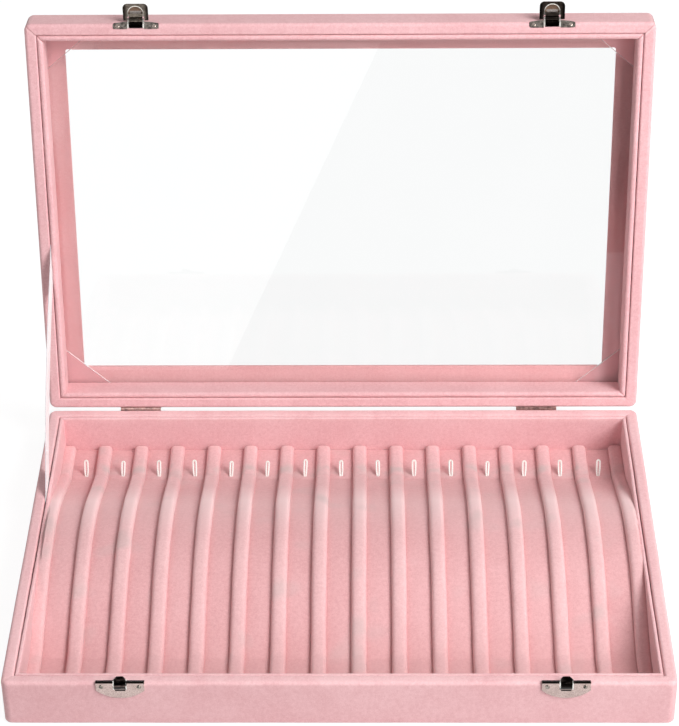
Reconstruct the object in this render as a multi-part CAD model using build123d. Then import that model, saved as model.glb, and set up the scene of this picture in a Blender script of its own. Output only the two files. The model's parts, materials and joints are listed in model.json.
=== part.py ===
from build123d import *
import math
import os

# A velvet-covered necklace case with a glass lid: tray, ribbed necklace pad, hinged lid, two latches.
# Millimetres. Origin at the middle of the underside, +Z up, the front faces -Y.
# The lid stands open at rest, held by a ribbon stay; lid pieces are drawn shut and then swung open.

os.makedirs("parts", exist_ok=True)

# ---- whole case ----
case_width = 350.0
case_depth = 240.0
corner_radius = 4.0
wall_thickness = 6.5
edge_radius = 2.0
inner_edge_radius = 1.0
foot_edge_radius = 0.9
cut_overrun = 3.0
match_slack = 0.02

# ---- tray ----
base_cover_thickness = 0.8
base_cover_inset = 1.5
tray_height = 29.0
bottom_board_thickness = 2.5
tray_liner_thickness = 2.0
tray_liner_drop = 2.5
liner_edge_radius = 0.7

# ---- lid ----
rim_gap = 0.6
lid_height = 18.4
top_frame_thickness = 2.0
glass_thickness = 2.0
glass_side_clearance = 0.3
glass_corner_clip = 25.8
lid_liner_thickness = 3.5
lid_liner_edge_radius = 1.1
frame_border = 13.6
window_corner_radius = 1.5
window_edge_radius = 0.6
lid_open_angle = 98.2

# ---- necklace pad ----
pad_ledge_height = 2.7
pad_front_ledge = 35.4
pad_back_ledge = 27.4
pad_hump_rise = 29.12
pad_ridge_share = 0.573
pad_fold_radius = 14.0
pad_side_clearance = 0.1
roll_count = 16
roll_width = 8.2
roll_height = 4.0
roll_lid_clearance = 0.3
roll_row_margin = 6.25
roll_row_shift = -0.6

# ---- necklace loops ----
loop_wire_radius = 0.55
loop_leg_spacing = 2.2
loop_leg_length = 8.0
loop_root_depth = 1.2
loop_ahead_of_fold = 2.0
loop_lean = 50.0
loop_lean_swing = 9.0
loop_lean_step = 137.0

# ---- hinges ----
hinge_inset_left = 54.4
hinge_inset_right = 59.6
hinge_length = 24.0
hinge_axis_behind_wall = 0.2
knuckle_radius = 1.0
knuckle_count = 4
knuckle_gap = 0.2
hinge_pin_radius = 0.5
hinge_running_clearance = 0.05
leaf_thickness = 0.5
leaf_height = 8.0
leaf_corner_radius = 1.6
leaf_clear_of_knuckle = 0.25
hinge_nail_spacing = 8.0
hinge_nail_count = 3
hinge_nail_from_leaf_edge = 3.0

# ---- nails ----
nail_head_radius = 1.2
nail_head_height = 0.45
nail_shank_radius = 0.45
nail_length = 5.0
nail_dome_share = 0.8
hinge_nail_head_radius = 0.9

# ---- catch plates on the tray ----
latch_inset_left = 62.1
latch_inset_right = 57.6
catch_width = 25.2
catch_plate_thickness = 0.7
catch_height = 10.6
catch_side_height = 5.4
catch_above_rim = 1.0
catch_lip_depth = 1.8
catch_lip_thickness = 0.4
catch_nail_offset = 9.8
catch_nail_below_top = 3.0
catch_slot_width = 5.4
catch_slot_height = 0.8
catch_slot_above_foot = 4.8
tongue_width = 7.2
tongue_thickness = 0.8
tongue_root_height = 2.4
tongue_bulge = 0.9
tongue_top_above_rim = 3.4
tongue_knee_below_rim = 0.2
tongue_lean_back = 1.5
tongue_tip_width = 3.2
tongue_tip_height = 1.6

# ---- latches on the lid ----
latch_width = 25.6
latch_plate_thickness = 0.6
latch_plate_depth = 4.3
latch_plate_tilt = 45.0
latch_plate_setback = 2.9
latch_plate_above_rim = 0.1
latch_ear_depth = 3.5
latch_ear_length = 6.0
latch_ear_radius = 1.4
latch_nail_offset = 10.2
housing_inner_width = 7.8
housing_wall = 0.6
housing_setback = 2.3
housing_above_rim = 0.5
housing_height = 5.2
pivot_out = 1.4
pivot_above_rim = 2.9
pivot_pin_radius = 0.5
pivot_running_clearance = 0.05
pivot_eye_radius = 1.1
hasp_barrel_radius = 1.2
hasp_barrel_clearance = 0.15
hasp_width = 14.0
hasp_length = 9.6
hasp_thickness = 0.6
hasp_corner_radius = 2.6
hasp_shoulder_rise = 0.5
hasp_slot_drop = 2.0
hasp_slot_clearance = 0.2
hasp_dish_radius = 4.6
hasp_dish_height = 1.0
hasp_dish_wall = 0.5
hasp_dish_from_tip = 1.0
hasp_dish_straight = 0.9
hasp_open_left = 80.0
hasp_open_right = 90.0

# ---- ribbon stay ----
ribbon_width = 14.0
ribbon_thickness = 0.4
ribbon_tray_reach = 78.2
ribbon_lid_reach = 92.8
ribbon_tail = 5.0
ribbon_pocket_clearance = 0.1

# ---- heights and planes that follow ----
half_width = case_width / 2
half_depth = case_depth / 2
inner_half_width = half_width - wall_thickness
inner_half_depth = half_depth - wall_thickness
wall_foot = base_cover_thickness
board_top = wall_foot + bottom_board_thickness
tray_liner_top = tray_height - tray_liner_drop
lid_rim = tray_height + rim_gap
lid_top = lid_rim + lid_height
frame_under = lid_top - top_frame_thickness
glass_under = frame_under - glass_thickness
axis_y = half_depth + hinge_axis_behind_wall
axis_z = tray_height + rim_gap / 2
hinge_axis = Axis((0, axis_y, axis_z), (1, 0, 0))
front = -half_depth
window_width = 2 * (inner_half_width - frame_border)
window_depth = 2 * (inner_half_depth - frame_border)
hinge_xs = {"left": hinge_inset_left - half_width, "right": half_width - hinge_inset_right}
latch_xs = {"left": latch_inset_left - half_width, "right": half_width - latch_inset_right}


def opened(shape):
    """The lid's pose at rest: swung back about the hinge."""
    return shape.rotate(hinge_axis, -lid_open_angle)


def slab(width, depth, z_low, z_high, radius=0.0):
    """A block centred on the origin in plan, between two heights."""
    outline = RectangleRounded(width, depth, radius) if radius > 0 else Rectangle(width, depth)
    return extrude(Pos(0, 0, z_low) * outline, z_high - z_low)


def block(x_low, x_high, y_low, y_high, z_low, z_high):
    """A block between three pairs of planes."""
    size = (x_high - x_low, y_high - y_low, z_high - z_low)
    middle = ((x_high + x_low) / 2, (y_high + y_low) / 2, (z_high + z_low) / 2)
    return Pos(*middle) * Box(*size)


def side_extrude(points, x_low, x_high):
    """An outline of (y, z) points carried along X."""
    outline = make_face(Polyline(*[(x_low, y, z) for y, z in points], close=True))
    return extrude(outline, x_high - x_low, dir=(1, 0, 0))


def front_extrude(outline, y_low, y_high):
    """A sketch drawn in x and z, standing upright, between two depths."""
    upright = Plane(origin=(0, y_high, 0), x_dir=(1, 0, 0), z_dir=(0, -1, 0))
    return extrude(upright * outline, y_high - y_low)


def mitred(ring, width, depth, z_low, z_high):
    """A rectangular ring parted at its four mitres: front, back, left, right."""
    w, d, o = width / 2, depth / 2, cut_overrun
    corner_x, corner_y = w + o, d + o
    middle_x = w - d
    wedges = {
        "front": [(-corner_x, -corner_y), (corner_x, -corner_y), (middle_x, 0), (-middle_x, 0)],
        "back": [(corner_x, corner_y), (-corner_x, corner_y), (-middle_x, 0), (middle_x, 0)],
        "left": [(-corner_x, corner_y), (-corner_x, -corner_y), (-middle_x, 0)],
        "right": [(corner_x, -corner_y), (corner_x, corner_y), (middle_x, 0)],
    }
    pieces = {}
    for side, points in wedges.items():
        face = make_face(Polyline(*[(x, y, z_low - o) for x, y in points], close=True))
        prism = extrude(face, z_high - z_low + o + o, dir=(0, 0, 1))
        pieces[side] = ring & prism
    return pieces


def ring_edges(ring, half_w, half_d, height):
    """The ring's edges at one height that lie on a rectangle's four sides or its rounded corners."""
    slack = corner_radius / 2
    found = []
    for edge in ring.edges():
        box = edge.bounding_box()
        level = abs(box.min.Z - height) + abs(box.max.Z - height)
        reach_x = max(abs(box.min.X), abs(box.max.X))
        reach_y = max(abs(box.min.Y), abs(box.max.Y))
        on_side = abs(reach_x - half_w) < slack or abs(reach_y - half_d) < slack
        inside = reach_x < half_w + slack and reach_y < half_d + slack
        if level < match_slack and on_side and inside:
            found.append(edge)
    return found


def wall_ring(z_low, z_high, low_radius, high_radius, rim_height):
    """Velvet-covered wall ring with rounded outer corners and edges and a softer inner rim edge."""
    body = slab(case_width, case_depth, z_low, z_high, corner_radius)
    body = fillet(ring_edges(body, half_width, half_depth, z_high), high_radius)
    body = fillet(ring_edges(body, half_width, half_depth, z_low), low_radius)
    inner = slab(2 * inner_half_width, 2 * inner_half_depth, z_low - cut_overrun, z_high + cut_overrun)
    ring = body - inner
    return fillet(ring_edges(ring, inner_half_width, inner_half_depth, rim_height), inner_edge_radius)


def liner_ring(thickness, z_low, z_high, rim_height, radius):
    """Thin velvet-covered boards standing inside the walls, softened along their exposed rim."""
    body = slab(2 * inner_half_width, 2 * inner_half_depth, z_low, z_high)
    inner_w, inner_d = inner_half_width - thickness, inner_half_depth - thickness
    ring = body - slab(2 * inner_w, 2 * inner_d, z_low - cut_overrun, z_high + cut_overrun)
    outer_edges = ring_edges(ring, inner_half_width, inner_half_depth, rim_height)
    inner_edges = ring_edges(ring, inner_w, inner_d, rim_height)
    return fillet(outer_edges + [e for e in inner_edges if e not in outer_edges], radius)


def nail(position, outward, head_radius):
    """A domed nail: head standing on the surface at position, shank running in."""
    seat = Plane(origin=position, z_dir=outward)
    head = seat * Cylinder(head_radius, nail_head_height, align=(Align.CENTER, Align.CENTER, Align.MIN))
    rim = head.edges().filter_by(GeomType.CIRCLE).sort_by(Axis(position, outward))[-1]
    head = fillet(rim, nail_head_height * nail_dome_share)
    shank = seat * Cylinder(nail_shank_radius, nail_length, align=(Align.CENTER, Align.CENTER, Align.MAX))
    return head + shank


def group(solids):
    """Separate solids kept together in one node."""
    return Compound(children=[solid for shape in solids for solid in shape.solids()])


parts = {}

# ---------------------------------------------------------------- tray shell
parts["base_cover"] = slab(
    case_width - 2 * base_cover_inset,
    case_depth - 2 * base_cover_inset,
    0,
    base_cover_thickness,
    corner_radius - base_cover_inset,
)
parts["tray_bottom_board"] = slab(2 * inner_half_width, 2 * inner_half_depth, wall_foot, board_top)
tray_walls = mitred(
    wall_ring(wall_foot, tray_height, foot_edge_radius, edge_radius, tray_height),
    case_width,
    case_depth,
    wall_foot,
    tray_height,
)
tray_liners = mitred(
    liner_ring(tray_liner_thickness, board_top, tray_liner_top, tray_liner_top, liner_edge_radius),
    2 * inner_half_width,
    2 * inner_half_depth,
    board_top,
    tray_liner_top,
)

# ---------------------------------------------------------------- necklace pad
ledge_z = board_top + pad_ledge_height
pad_half_width = inner_half_width - tray_liner_thickness - pad_side_clearance
pad_half_depth = inner_half_depth - tray_liner_thickness - pad_side_clearance
pad_apex_z = ledge_z + pad_hump_rise
pad_back_fold = pad_half_depth - pad_back_ledge
pad_front_fold = pad_front_ledge - pad_half_depth
pad_ridge_y = (pad_back_fold + pad_front_fold) / 2
pad_hump_half_length = (pad_back_fold - pad_front_fold) / 2
pad_ridge_radius = pad_ridge_share * pad_hump_half_length**2 / pad_hump_rise
pad_radii = [pad_fold_radius, pad_ridge_radius, pad_fold_radius]


def pad_line(x):
    """The pad's surface from back to front at one x: ledge, slope, ridge, slope, ledge."""
    return FilletPolyline(
        (x, pad_half_depth, ledge_z),
        (x, pad_back_fold, ledge_z),
        (x, pad_ridge_y, pad_apex_z),
        (x, pad_front_fold, ledge_z),
        (x, -pad_half_depth, ledge_z),
        radius=pad_radii,
    )


pad_left = -pad_half_width
pad_closing = Polyline(
    (pad_left, -pad_half_depth, ledge_z),
    (pad_left, -pad_half_depth, board_top),
    (pad_left, pad_half_depth, board_top),
    (pad_left, pad_half_depth, ledge_z),
)
pad_side = make_face(pad_line(pad_left).edges() + pad_closing.edges())
pad = extrude(pad_side, 2 * pad_half_width, dir=(1, 0, 0))

roll_pitch = (2 * pad_half_width - roll_row_margin) / (roll_count - 1)
roll_centres = [(i - (roll_count - 1) / 2) * roll_pitch + roll_row_shift for i in range(roll_count)]
pad_room = block(
    -pad_half_width,
    pad_half_width,
    -pad_half_depth,
    pad_half_depth,
    board_top,
    pad_apex_z + roll_height,
)
# the shut lid's side liners press down beside the two outer rolls
liner_reach_x = inner_half_width - lid_liner_thickness - roll_lid_clearance
liner_reach_z = lid_rim - roll_lid_clearance
for near, far in ((-half_width, -liner_reach_x), (liner_reach_x, half_width)):
    pad_room -= block(near, far, -half_depth, half_depth, liner_reach_z, lid_top)
rolls = []
for x in roll_centres:
    section_plane = Plane(origin=(x, pad_half_depth, ledge_z), x_dir=(1, 0, 0), z_dir=(0, -1, 0))
    crown = ThreePointArc((-roll_width / 2, 0), (0, roll_height), (roll_width / 2, 0))
    section = make_face([crown, Line((roll_width / 2, 0), (-roll_width / 2, 0))])
    roll = sweep(section_plane * section, path=pad_line(x))
    if abs(x) + roll_width / 2 > pad_half_width:
        roll = roll & pad_room
    rolls.append(roll)
parts["pad_rolls"] = group(rolls)

# ---------------------------------------------------------------- necklace loops
loop_y = pad_back_fold + loop_ahead_of_fold
loops = []
for i in range(roll_count - 1):
    x = (roll_centres[i] + roll_centres[i + 1]) / 2
    lean = math.radians(loop_lean + loop_lean_swing * math.sin(math.radians(loop_lean_step * i)))
    up = Vector(0, math.cos(lean), math.sin(lean))
    plane = Plane(origin=(x, loop_y, ledge_z), x_dir=(1, 0, 0), z_dir=Vector(1, 0, 0).cross(up))
    half = loop_leg_spacing / 2
    legs = [
        Line((-half, -loop_root_depth), (-half, loop_leg_length)),
        ThreePointArc((-half, loop_leg_length), (0, loop_leg_length + half), (half, loop_leg_length)),
        Line((half, loop_leg_length), (half, -loop_root_depth)),
    ]
    wire_path = plane * Wire(legs)
    start = plane * Pos(-half, -loop_root_depth) * Location((0, 0, 0), (-90, 0, 0))
    loops.append(sweep(start * Circle(loop_wire_radius), path=wire_path))
for loop in loops:
    pad = pad - loop
parts["necklace_pad"] = pad
parts["necklace_loops"] = group(loops)

# ---------------------------------------------------------------- lid shell, drawn shut
lid_walls = mitred(
    wall_ring(lid_rim, lid_top, edge_radius, edge_radius, lid_rim),
    case_width,
    case_depth,
    lid_rim,
    lid_top,
)
lid_liners = mitred(
    liner_ring(lid_liner_thickness, lid_rim, glass_under, lid_rim, lid_liner_edge_radius),
    2 * inner_half_width,
    2 * inner_half_depth,
    lid_rim,
    glass_under,
)
top_frame = slab(2 * inner_half_width, 2 * inner_half_depth, frame_under, lid_top)
window = slab(
    window_width,
    window_depth,
    frame_under - cut_overrun,
    lid_top + cut_overrun,
    window_corner_radius,
)
top_frame = top_frame - window
window_rim = ring_edges(top_frame, window_width / 2, window_depth / 2, lid_top)
top_frame = fillet(window_rim, window_edge_radius)

glass_half_w = inner_half_width - glass_side_clearance
glass_half_d = inner_half_depth - glass_side_clearance
clip = glass_corner_clip
glass_outline = []
for sx, sy in ((1, 1), (-1, 1), (-1, -1), (1, -1)):
    near_side = (sx * glass_half_w, sy * (glass_half_d - clip))
    near_end = (sx * (glass_half_w - clip), sy * glass_half_d)
    glass_outline += [near_side, near_end] if sx == sy else [near_end, near_side]
glass_face = make_face(Polyline(*[(x, y, glass_under) for x, y in glass_outline], close=True))
glass = extrude(glass_face, glass_thickness, dir=(0, 0, 1))

# ---------------------------------------------------------------- hinges
knuckle_pitch = hinge_length / knuckle_count
knuckle_span = knuckle_pitch - knuckle_gap
leaf_top = axis_z - knuckle_radius - leaf_clear_of_knuckle
leaf_foot = axis_z + knuckle_radius + leaf_clear_of_knuckle


def along_x(radius, x_low, x_high, y, z):
    """A cylinder lying along X."""
    turned = Pos((x_low + x_high) / 2, y, z) * Rot(0, 90, 0)
    return turned * Cylinder(radius, x_high - x_low)


def hinge_leaf(x_middle, on_lid):
    """A leaf behind the wall with every second knuckle rolled at the pin."""
    low, high = x_middle - hinge_length / 2, x_middle + hinge_length / 2
    z_far = leaf_foot + leaf_height if on_lid else leaf_top - leaf_height
    z_near = leaf_foot if on_lid else leaf_top
    leaf = block(low, high, half_depth, half_depth + leaf_thickness, min(z_far, z_near), max(z_far, z_near))
    corners = leaf.edges().filter_by(Axis.Y).sort_by(Axis.Z)
    leaf = fillet(corners[-2:] if on_lid else corners[:2], leaf_corner_radius)
    bore = hinge_pin_radius + (hinge_running_clearance if on_lid else 0)
    for k in range(knuckle_count):
        if (k % 2 == 1) != on_lid:
            continue
        x_low = low + k * knuckle_pitch + knuckle_gap / 2
        x_high = x_low + knuckle_span
        tab_low, tab_high = (axis_z, z_near) if on_lid else (z_near, axis_z)
        tab = block(x_low, x_high, half_depth, half_depth + leaf_thickness, tab_low, tab_high)
        leaf = leaf + tab + along_x(knuckle_radius, x_low, x_high, axis_y, axis_z)
    return leaf - along_x(bore, low - cut_overrun, high + cut_overrun, axis_y, axis_z)


def hinge_nails(x_middle, on_lid):
    """A row of small nails through one leaf into the wall."""
    z = leaf_foot + leaf_height - hinge_nail_from_leaf_edge
    if not on_lid:
        z = leaf_top - leaf_height + hinge_nail_from_leaf_edge
    first = x_middle - (hinge_nail_count - 1) / 2 * hinge_nail_spacing
    row = [first + k * hinge_nail_spacing for k in range(hinge_nail_count)]
    return [nail((x, half_depth + leaf_thickness, z), (0, 1, 0), hinge_nail_head_radius) for x in row]


tray_hinge_nails, lid_hinge_nails = [], []
for side, x in hinge_xs.items():
    tray_nails, lid_nails = hinge_nails(x, False), hinge_nails(x, True)
    tray_leaf, lid_leaf = hinge_leaf(x, False), hinge_leaf(x, True)
    for one in tray_nails:
        tray_leaf = tray_leaf - one
        tray_walls["back"] = tray_walls["back"] - one
    for one in lid_nails:
        lid_leaf = lid_leaf - one
        lid_walls["back"] = lid_walls["back"] - one
    tray_hinge_nails += tray_nails
    lid_hinge_nails += lid_nails
    parts[f"tray_hinge_leaf_{side}"] = tray_leaf
    parts[f"lid_hinge_leaf_{side}"] = opened(lid_leaf)
    pin_low, pin_high = x - hinge_length / 2, x + hinge_length / 2
    parts[f"hinge_pin_{side}"] = along_x(hinge_pin_radius, pin_low, pin_high, axis_y, axis_z)
parts["tray_hinge_nails"] = group(tray_hinge_nails)
parts["lid_hinge_nails"] = opened(group(lid_hinge_nails))

# ---------------------------------------------------------------- catch plates on the tray
catch_top = tray_height + catch_above_rim
catch_foot = catch_top - catch_height
catch_front = front - catch_plate_thickness


def catch_plate(x):
    """Half-moon plate with a pressed-out tongue that stands up past the rim."""
    half = catch_width / 2
    side_foot = catch_top - catch_side_height
    outline = make_face(
        [
            Line((x - half, side_foot), (x - half, catch_top)),
            Line((x - half, catch_top), (x + half, catch_top)),
            Line((x + half, catch_top), (x + half, side_foot)),
            ThreePointArc((x + half, side_foot), (x, catch_foot), (x - half, side_foot)),
        ]
    )
    plate = front_extrude(outline, catch_front, front)
    slot_low = catch_foot + catch_slot_above_foot
    slot_high = slot_low + catch_slot_height
    half_slot, half_tongue = catch_slot_width / 2, tongue_width / 2
    slot_front, slot_back = catch_front - cut_overrun, front + cut_overrun
    plate -= block(x - half_slot, x + half_slot, slot_front, slot_back, slot_low, slot_high)
    lip_back = front + catch_lip_depth
    plate += side_extrude(
        [
            (catch_front, catch_top),
            (lip_back, tray_height + catch_lip_thickness),
            (lip_back, tray_height),
            (catch_front, tray_height),
        ],
        x - half,
        x + half,
    )
    knee = tray_height - tongue_knee_below_rim
    tip = tray_height + tongue_top_above_rim
    root_low, root_high = slot_high, slot_high + tongue_root_height
    bulge_front = catch_front - tongue_bulge
    tongue = side_extrude(
        [
            (front, root_low),
            (catch_front, root_low),
            (bulge_front, root_high),
            (bulge_front, knee),
            (bulge_front + tongue_lean_back + tongue_thickness, tip),
            (bulge_front + tongue_lean_back + 2 * tongue_thickness, tip),
            (bulge_front + tongue_thickness + tongue_thickness / 2, knee),
            (front, knee),
        ],
        x - half_tongue,
        x + half_tongue,
    )
    half_tip = tongue_tip_width / 2
    shape = make_face(
        Polyline(
            (x - half_tongue, root_low - cut_overrun),
            (x + half_tongue, root_low - cut_overrun),
            (x + half_tongue, tip - tongue_tip_height),
            (x + half_tip, tip),
            (x - half_tip, tip),
            (x - half_tongue, tip - tongue_tip_height),
            close=True,
        )
    )
    tongue = tongue & front_extrude(shape, front - case_depth, front + case_depth)
    return plate + tongue


catch_nail_z = catch_top - catch_nail_below_top
catch_nails = []
for side, x in latch_xs.items():
    plate = catch_plate(x)
    for sign in (-1, 1):
        one = nail((x + sign * catch_nail_offset, catch_front, catch_nail_z), (0, -1, 0), nail_head_radius)
        plate = plate - one
        tray_walls["front"] = tray_walls["front"] - one
        catch_nails.append(one)
    parts[f"catch_plate_{side}"] = plate
parts["catch_plate_nails"] = group(catch_nails)

# ---------------------------------------------------------------- latches on the lid, drawn shut
tilt = math.radians(latch_plate_tilt)
seat_y = front + latch_plate_setback
seat_z = lid_rim + latch_plate_above_rim
along = (-math.sin(tilt), math.cos(tilt))
outward = (-math.cos(tilt), -math.sin(tilt))
pivot_y = front - pivot_out
pivot_z = lid_rim + pivot_above_rim
hasp_turns = {"left": hasp_open_left, "right": hasp_open_right}


def latch_seat_cut(x):
    """What the tilted plate and its housing take out of the lid's front wall."""
    far = latch_plate_depth + cut_overrun
    half = latch_width / 2
    low = (seat_y - along[0] * cut_overrun, seat_z - along[1] * cut_overrun)
    high = (seat_y + along[0] * far, seat_z + along[1] * far)
    reach = 2 * cut_overrun
    edge = [
        low,
        high,
        (high[0] + outward[0] * reach, high[1] + outward[1] * reach),
        (low[0] + outward[0] * reach, low[1] + outward[1] * reach),
    ]
    bevel = side_extrude(edge, x - half, x + half)
    outer_half = housing_inner_width / 2 + housing_wall
    pocket = block(
        x - outer_half,
        x + outer_half,
        front - cut_overrun,
        front + housing_setback,
        lid_rim - cut_overrun,
        lid_rim + housing_height,
    )
    return bevel, pocket


def latch_plate(x):
    """Tilted plate with two ears, and a small housing whose cheeks carry the hasp's pin."""
    plane = Plane(
        origin=(x, seat_y, seat_z),
        x_dir=(1, 0, 0),
        z_dir=Vector(1, 0, 0).cross(Vector(0, along[0], along[1])),
    )
    half = latch_width / 2
    ear_half = half - latch_ear_length
    outline = make_face(
        Polyline(
            (-half, 0),
            (half, 0),
            (half, latch_ear_depth),
            (ear_half, latch_plate_depth),
            (-ear_half, latch_plate_depth),
            (-half, latch_ear_depth),
            close=True,
        )
    )
    facing = plane.z_dir.dot(Vector(0, *outward))
    sheet = extrude(plane * outline, latch_plate_thickness if facing > 0 else -latch_plate_thickness)
    ends = [e for e in sheet.edges() if abs(abs(e.center().X - x) - half) < housing_wall]
    ends = [e for e in ends if e.length < 2 * latch_plate_thickness]
    sheet = fillet(ends, latch_ear_radius)
    inner_half = housing_inner_width / 2
    outer_half = inner_half + housing_wall
    sheet -= block(
        x - outer_half,
        x + outer_half,
        front - case_depth,
        front + case_depth,
        tray_height - cut_overrun,
        lid_top,
    )
    housing_back = front + housing_setback
    roof_low = lid_rim + housing_height - housing_wall
    roof_high = lid_rim + housing_height
    cheek_foot = lid_rim + housing_above_rim
    cheek_points = [
        (housing_back, cheek_foot),
        (front, cheek_foot),
        (pivot_y, pivot_z - pivot_eye_radius),
        (pivot_y, pivot_z + pivot_eye_radius),
        (front, roof_high),
        (housing_back, roof_high),
    ]
    body = block(x - outer_half, x + outer_half, front, housing_back, roof_low, roof_high)
    for low in (x - outer_half, x + inner_half):
        cheek = side_extrude(cheek_points, low, low + housing_wall)
        eye = along_x(pivot_eye_radius, low, low + housing_wall, pivot_y, pivot_z)
        body = body + cheek + eye
    body = body - along_x(pivot_pin_radius, x - half, x + half, pivot_y, pivot_z)
    return sheet + body


def hasp(x):
    """Hanging flap with rounded tip, a dished D and a barrel rolled round the pin; drawn shut."""
    half = hasp_width / 2
    tip_z = pivot_z - hasp_length
    shoulder_z = pivot_z + hasp_shoulder_rise
    slot_z = pivot_z - hasp_slot_drop
    slot_half = housing_inner_width / 2 + housing_wall + hasp_slot_clearance
    back = pivot_y - (hasp_barrel_radius - hasp_thickness)
    face = back - hasp_thickness
    flap = block(x - half, x + half, face, back, tip_z, shoulder_z)
    flap = fillet(flap.edges().filter_by(Axis.Y).sort_by(Axis.Z)[:2], hasp_corner_radius)
    slot_front, slot_back = face - cut_overrun, back + cut_overrun
    flap -= block(x - slot_half, x + slot_half, slot_front, slot_back, slot_z, shoulder_z + cut_overrun)
    barrel_half = housing_inner_width / 2 - hasp_barrel_clearance
    tab = block(x - barrel_half, x + barrel_half, face, back, slot_z, pivot_z)
    barrel = along_x(hasp_barrel_radius, x - barrel_half, x + barrel_half, pivot_y, pivot_z)
    dish_z = tip_z + hasp_dish_from_tip + hasp_dish_radius

    def dish(radius, y_low, y_high):
        top = dish_z + hasp_dish_straight - (hasp_dish_radius - radius)
        outline = make_face(
            [
                ThreePointArc((x - radius, dish_z), (x, dish_z - radius), (x + radius, dish_z)),
                Line((x + radius, dish_z), (x + radius, top)),
                Line((x + radius, top), (x - radius, top)),
                Line((x - radius, top), (x - radius, dish_z)),
            ]
        )
        return front_extrude(outline, y_low, y_high)

    flap = flap + tab + barrel + dish(hasp_dish_radius, face - hasp_dish_height, face)
    inner_front = face - hasp_dish_height + hasp_dish_wall
    flap = flap - dish(hasp_dish_radius - hasp_dish_wall, inner_front, back + hasp_thickness)
    bore = pivot_pin_radius + pivot_running_clearance
    return flap - along_x(bore, x - half, x + half, pivot_y, pivot_z)


latch_nails, latch_pins = [], []
for side, x in latch_xs.items():
    bevel, pocket = latch_seat_cut(x)
    lid_walls["front"] = lid_walls["front"] - bevel - pocket
    plate = latch_plate(x)
    middle = latch_plate_depth / 2 - latch_plate_thickness / 2
    nail_y = seat_y + along[0] * middle + outward[0] * latch_plate_thickness
    nail_z = seat_z + along[1] * middle + outward[1] * latch_plate_thickness
    for sign in (-1, 1):
        one = nail((x + sign * latch_nail_offset, nail_y, nail_z), (0, *outward), nail_head_radius)
        plate = plate - one
        lid_walls["front"] = lid_walls["front"] - one
        latch_nails.append(one)
    parts[f"latch_plate_{side}"] = opened(plate)
    pin_half = housing_inner_width / 2 + housing_wall
    latch_pins.append(along_x(pivot_pin_radius, x - pin_half, x + pin_half, pivot_y, pivot_z))
    flap = hasp(x).rotate(Axis((0, pivot_y, pivot_z), (1, 0, 0)), -hasp_turns[side])
    parts[f"hasp_{side}"] = opened(flap)
parts["latch_plate_nails"] = opened(group(latch_nails))
parts["hasp_pins"] = opened(group(latch_pins))

# ---------------------------------------------------------------- ribbon stay
turn = math.radians(lid_open_angle)
lid_arm = (-ribbon_lid_reach, lid_rim - axis_z)
lid_end = (
    axis_y + lid_arm[0] * math.cos(turn) + lid_arm[1] * math.sin(turn),
    axis_z - lid_arm[0] * math.sin(turn) + lid_arm[1] * math.cos(turn),
)
tray_end = (axis_y - ribbon_tray_reach, tray_liner_top)
span = math.hypot(lid_end[0] - tray_end[0], lid_end[1] - tray_end[1])
run = ((lid_end[0] - tray_end[0]) / span, (lid_end[1] - tray_end[1]) / span)
across = (run[1], -run[0])


def ribbon_strip(clearance):
    """The stay pulled tight between its two seams, with a tail tucked into each."""
    half = ribbon_width / 2 + clearance
    tail = ribbon_tail + ribbon_width / 2 + clearance
    low = (tray_end[0] - run[0] * tail, tray_end[1] - run[1] * tail)
    high = (lid_end[0] + run[0] * tail, lid_end[1] + run[1] * tail)
    points = [
        (low[0] - across[0] * half, low[1] - across[1] * half),
        (high[0] - across[0] * half, high[1] - across[1] * half),
        (high[0] + across[0] * half, high[1] + across[1] * half),
        (low[0] + across[0] * half, low[1] + across[1] * half),
    ]
    return side_extrude(points, -inner_half_width, -inner_half_width + ribbon_thickness + clearance)


ribbon = ribbon_strip(0)
parts["stay_ribbon"] = ribbon
tray_liners["left"] = tray_liners["left"] - ribbon
lid_left_liner = opened(lid_liners["left"]) - ribbon_strip(ribbon_pocket_clearance)

# ---------------------------------------------------------------- walls and liners, written last
for side in ("front", "back", "left", "right"):
    parts[f"tray_{side}_wall"] = tray_walls[side]
    parts[f"tray_{side}_liner"] = tray_liners[side]
    parts[f"lid_{side}_wall"] = opened(lid_walls[side])
    parts[f"lid_{side}_liner"] = opened(lid_liners[side]) if side != "left" else lid_left_liner
parts["lid_top_frame"] = opened(top_frame)
parts["glass_pane"] = opened(glass)

for name, shape in parts.items():
    export_step(shape, f"parts/{name}.step")

pivot_arm = (pivot_y - axis_y, pivot_z - axis_z)
pivot_rest = (
    axis_y + pivot_arm[0] * math.cos(turn) + pivot_arm[1] * math.sin(turn),
    axis_z - pivot_arm[0] * math.sin(turn) + pivot_arm[1] * math.cos(turn),
)
print("lid hinge axis", axis_y, axis_z)
print("hasp pivots at rest", pivot_rest)
print("ribbon free length", span)
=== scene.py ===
"""Looks of a velvet necklace case with a glass lid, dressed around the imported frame. Metres."""

import json
import logging
import math
from dataclasses import dataclass, field
from enum import Enum

import bmesh
import bpy
import numpy as np
from mathutils import Matrix, Vector

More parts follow.
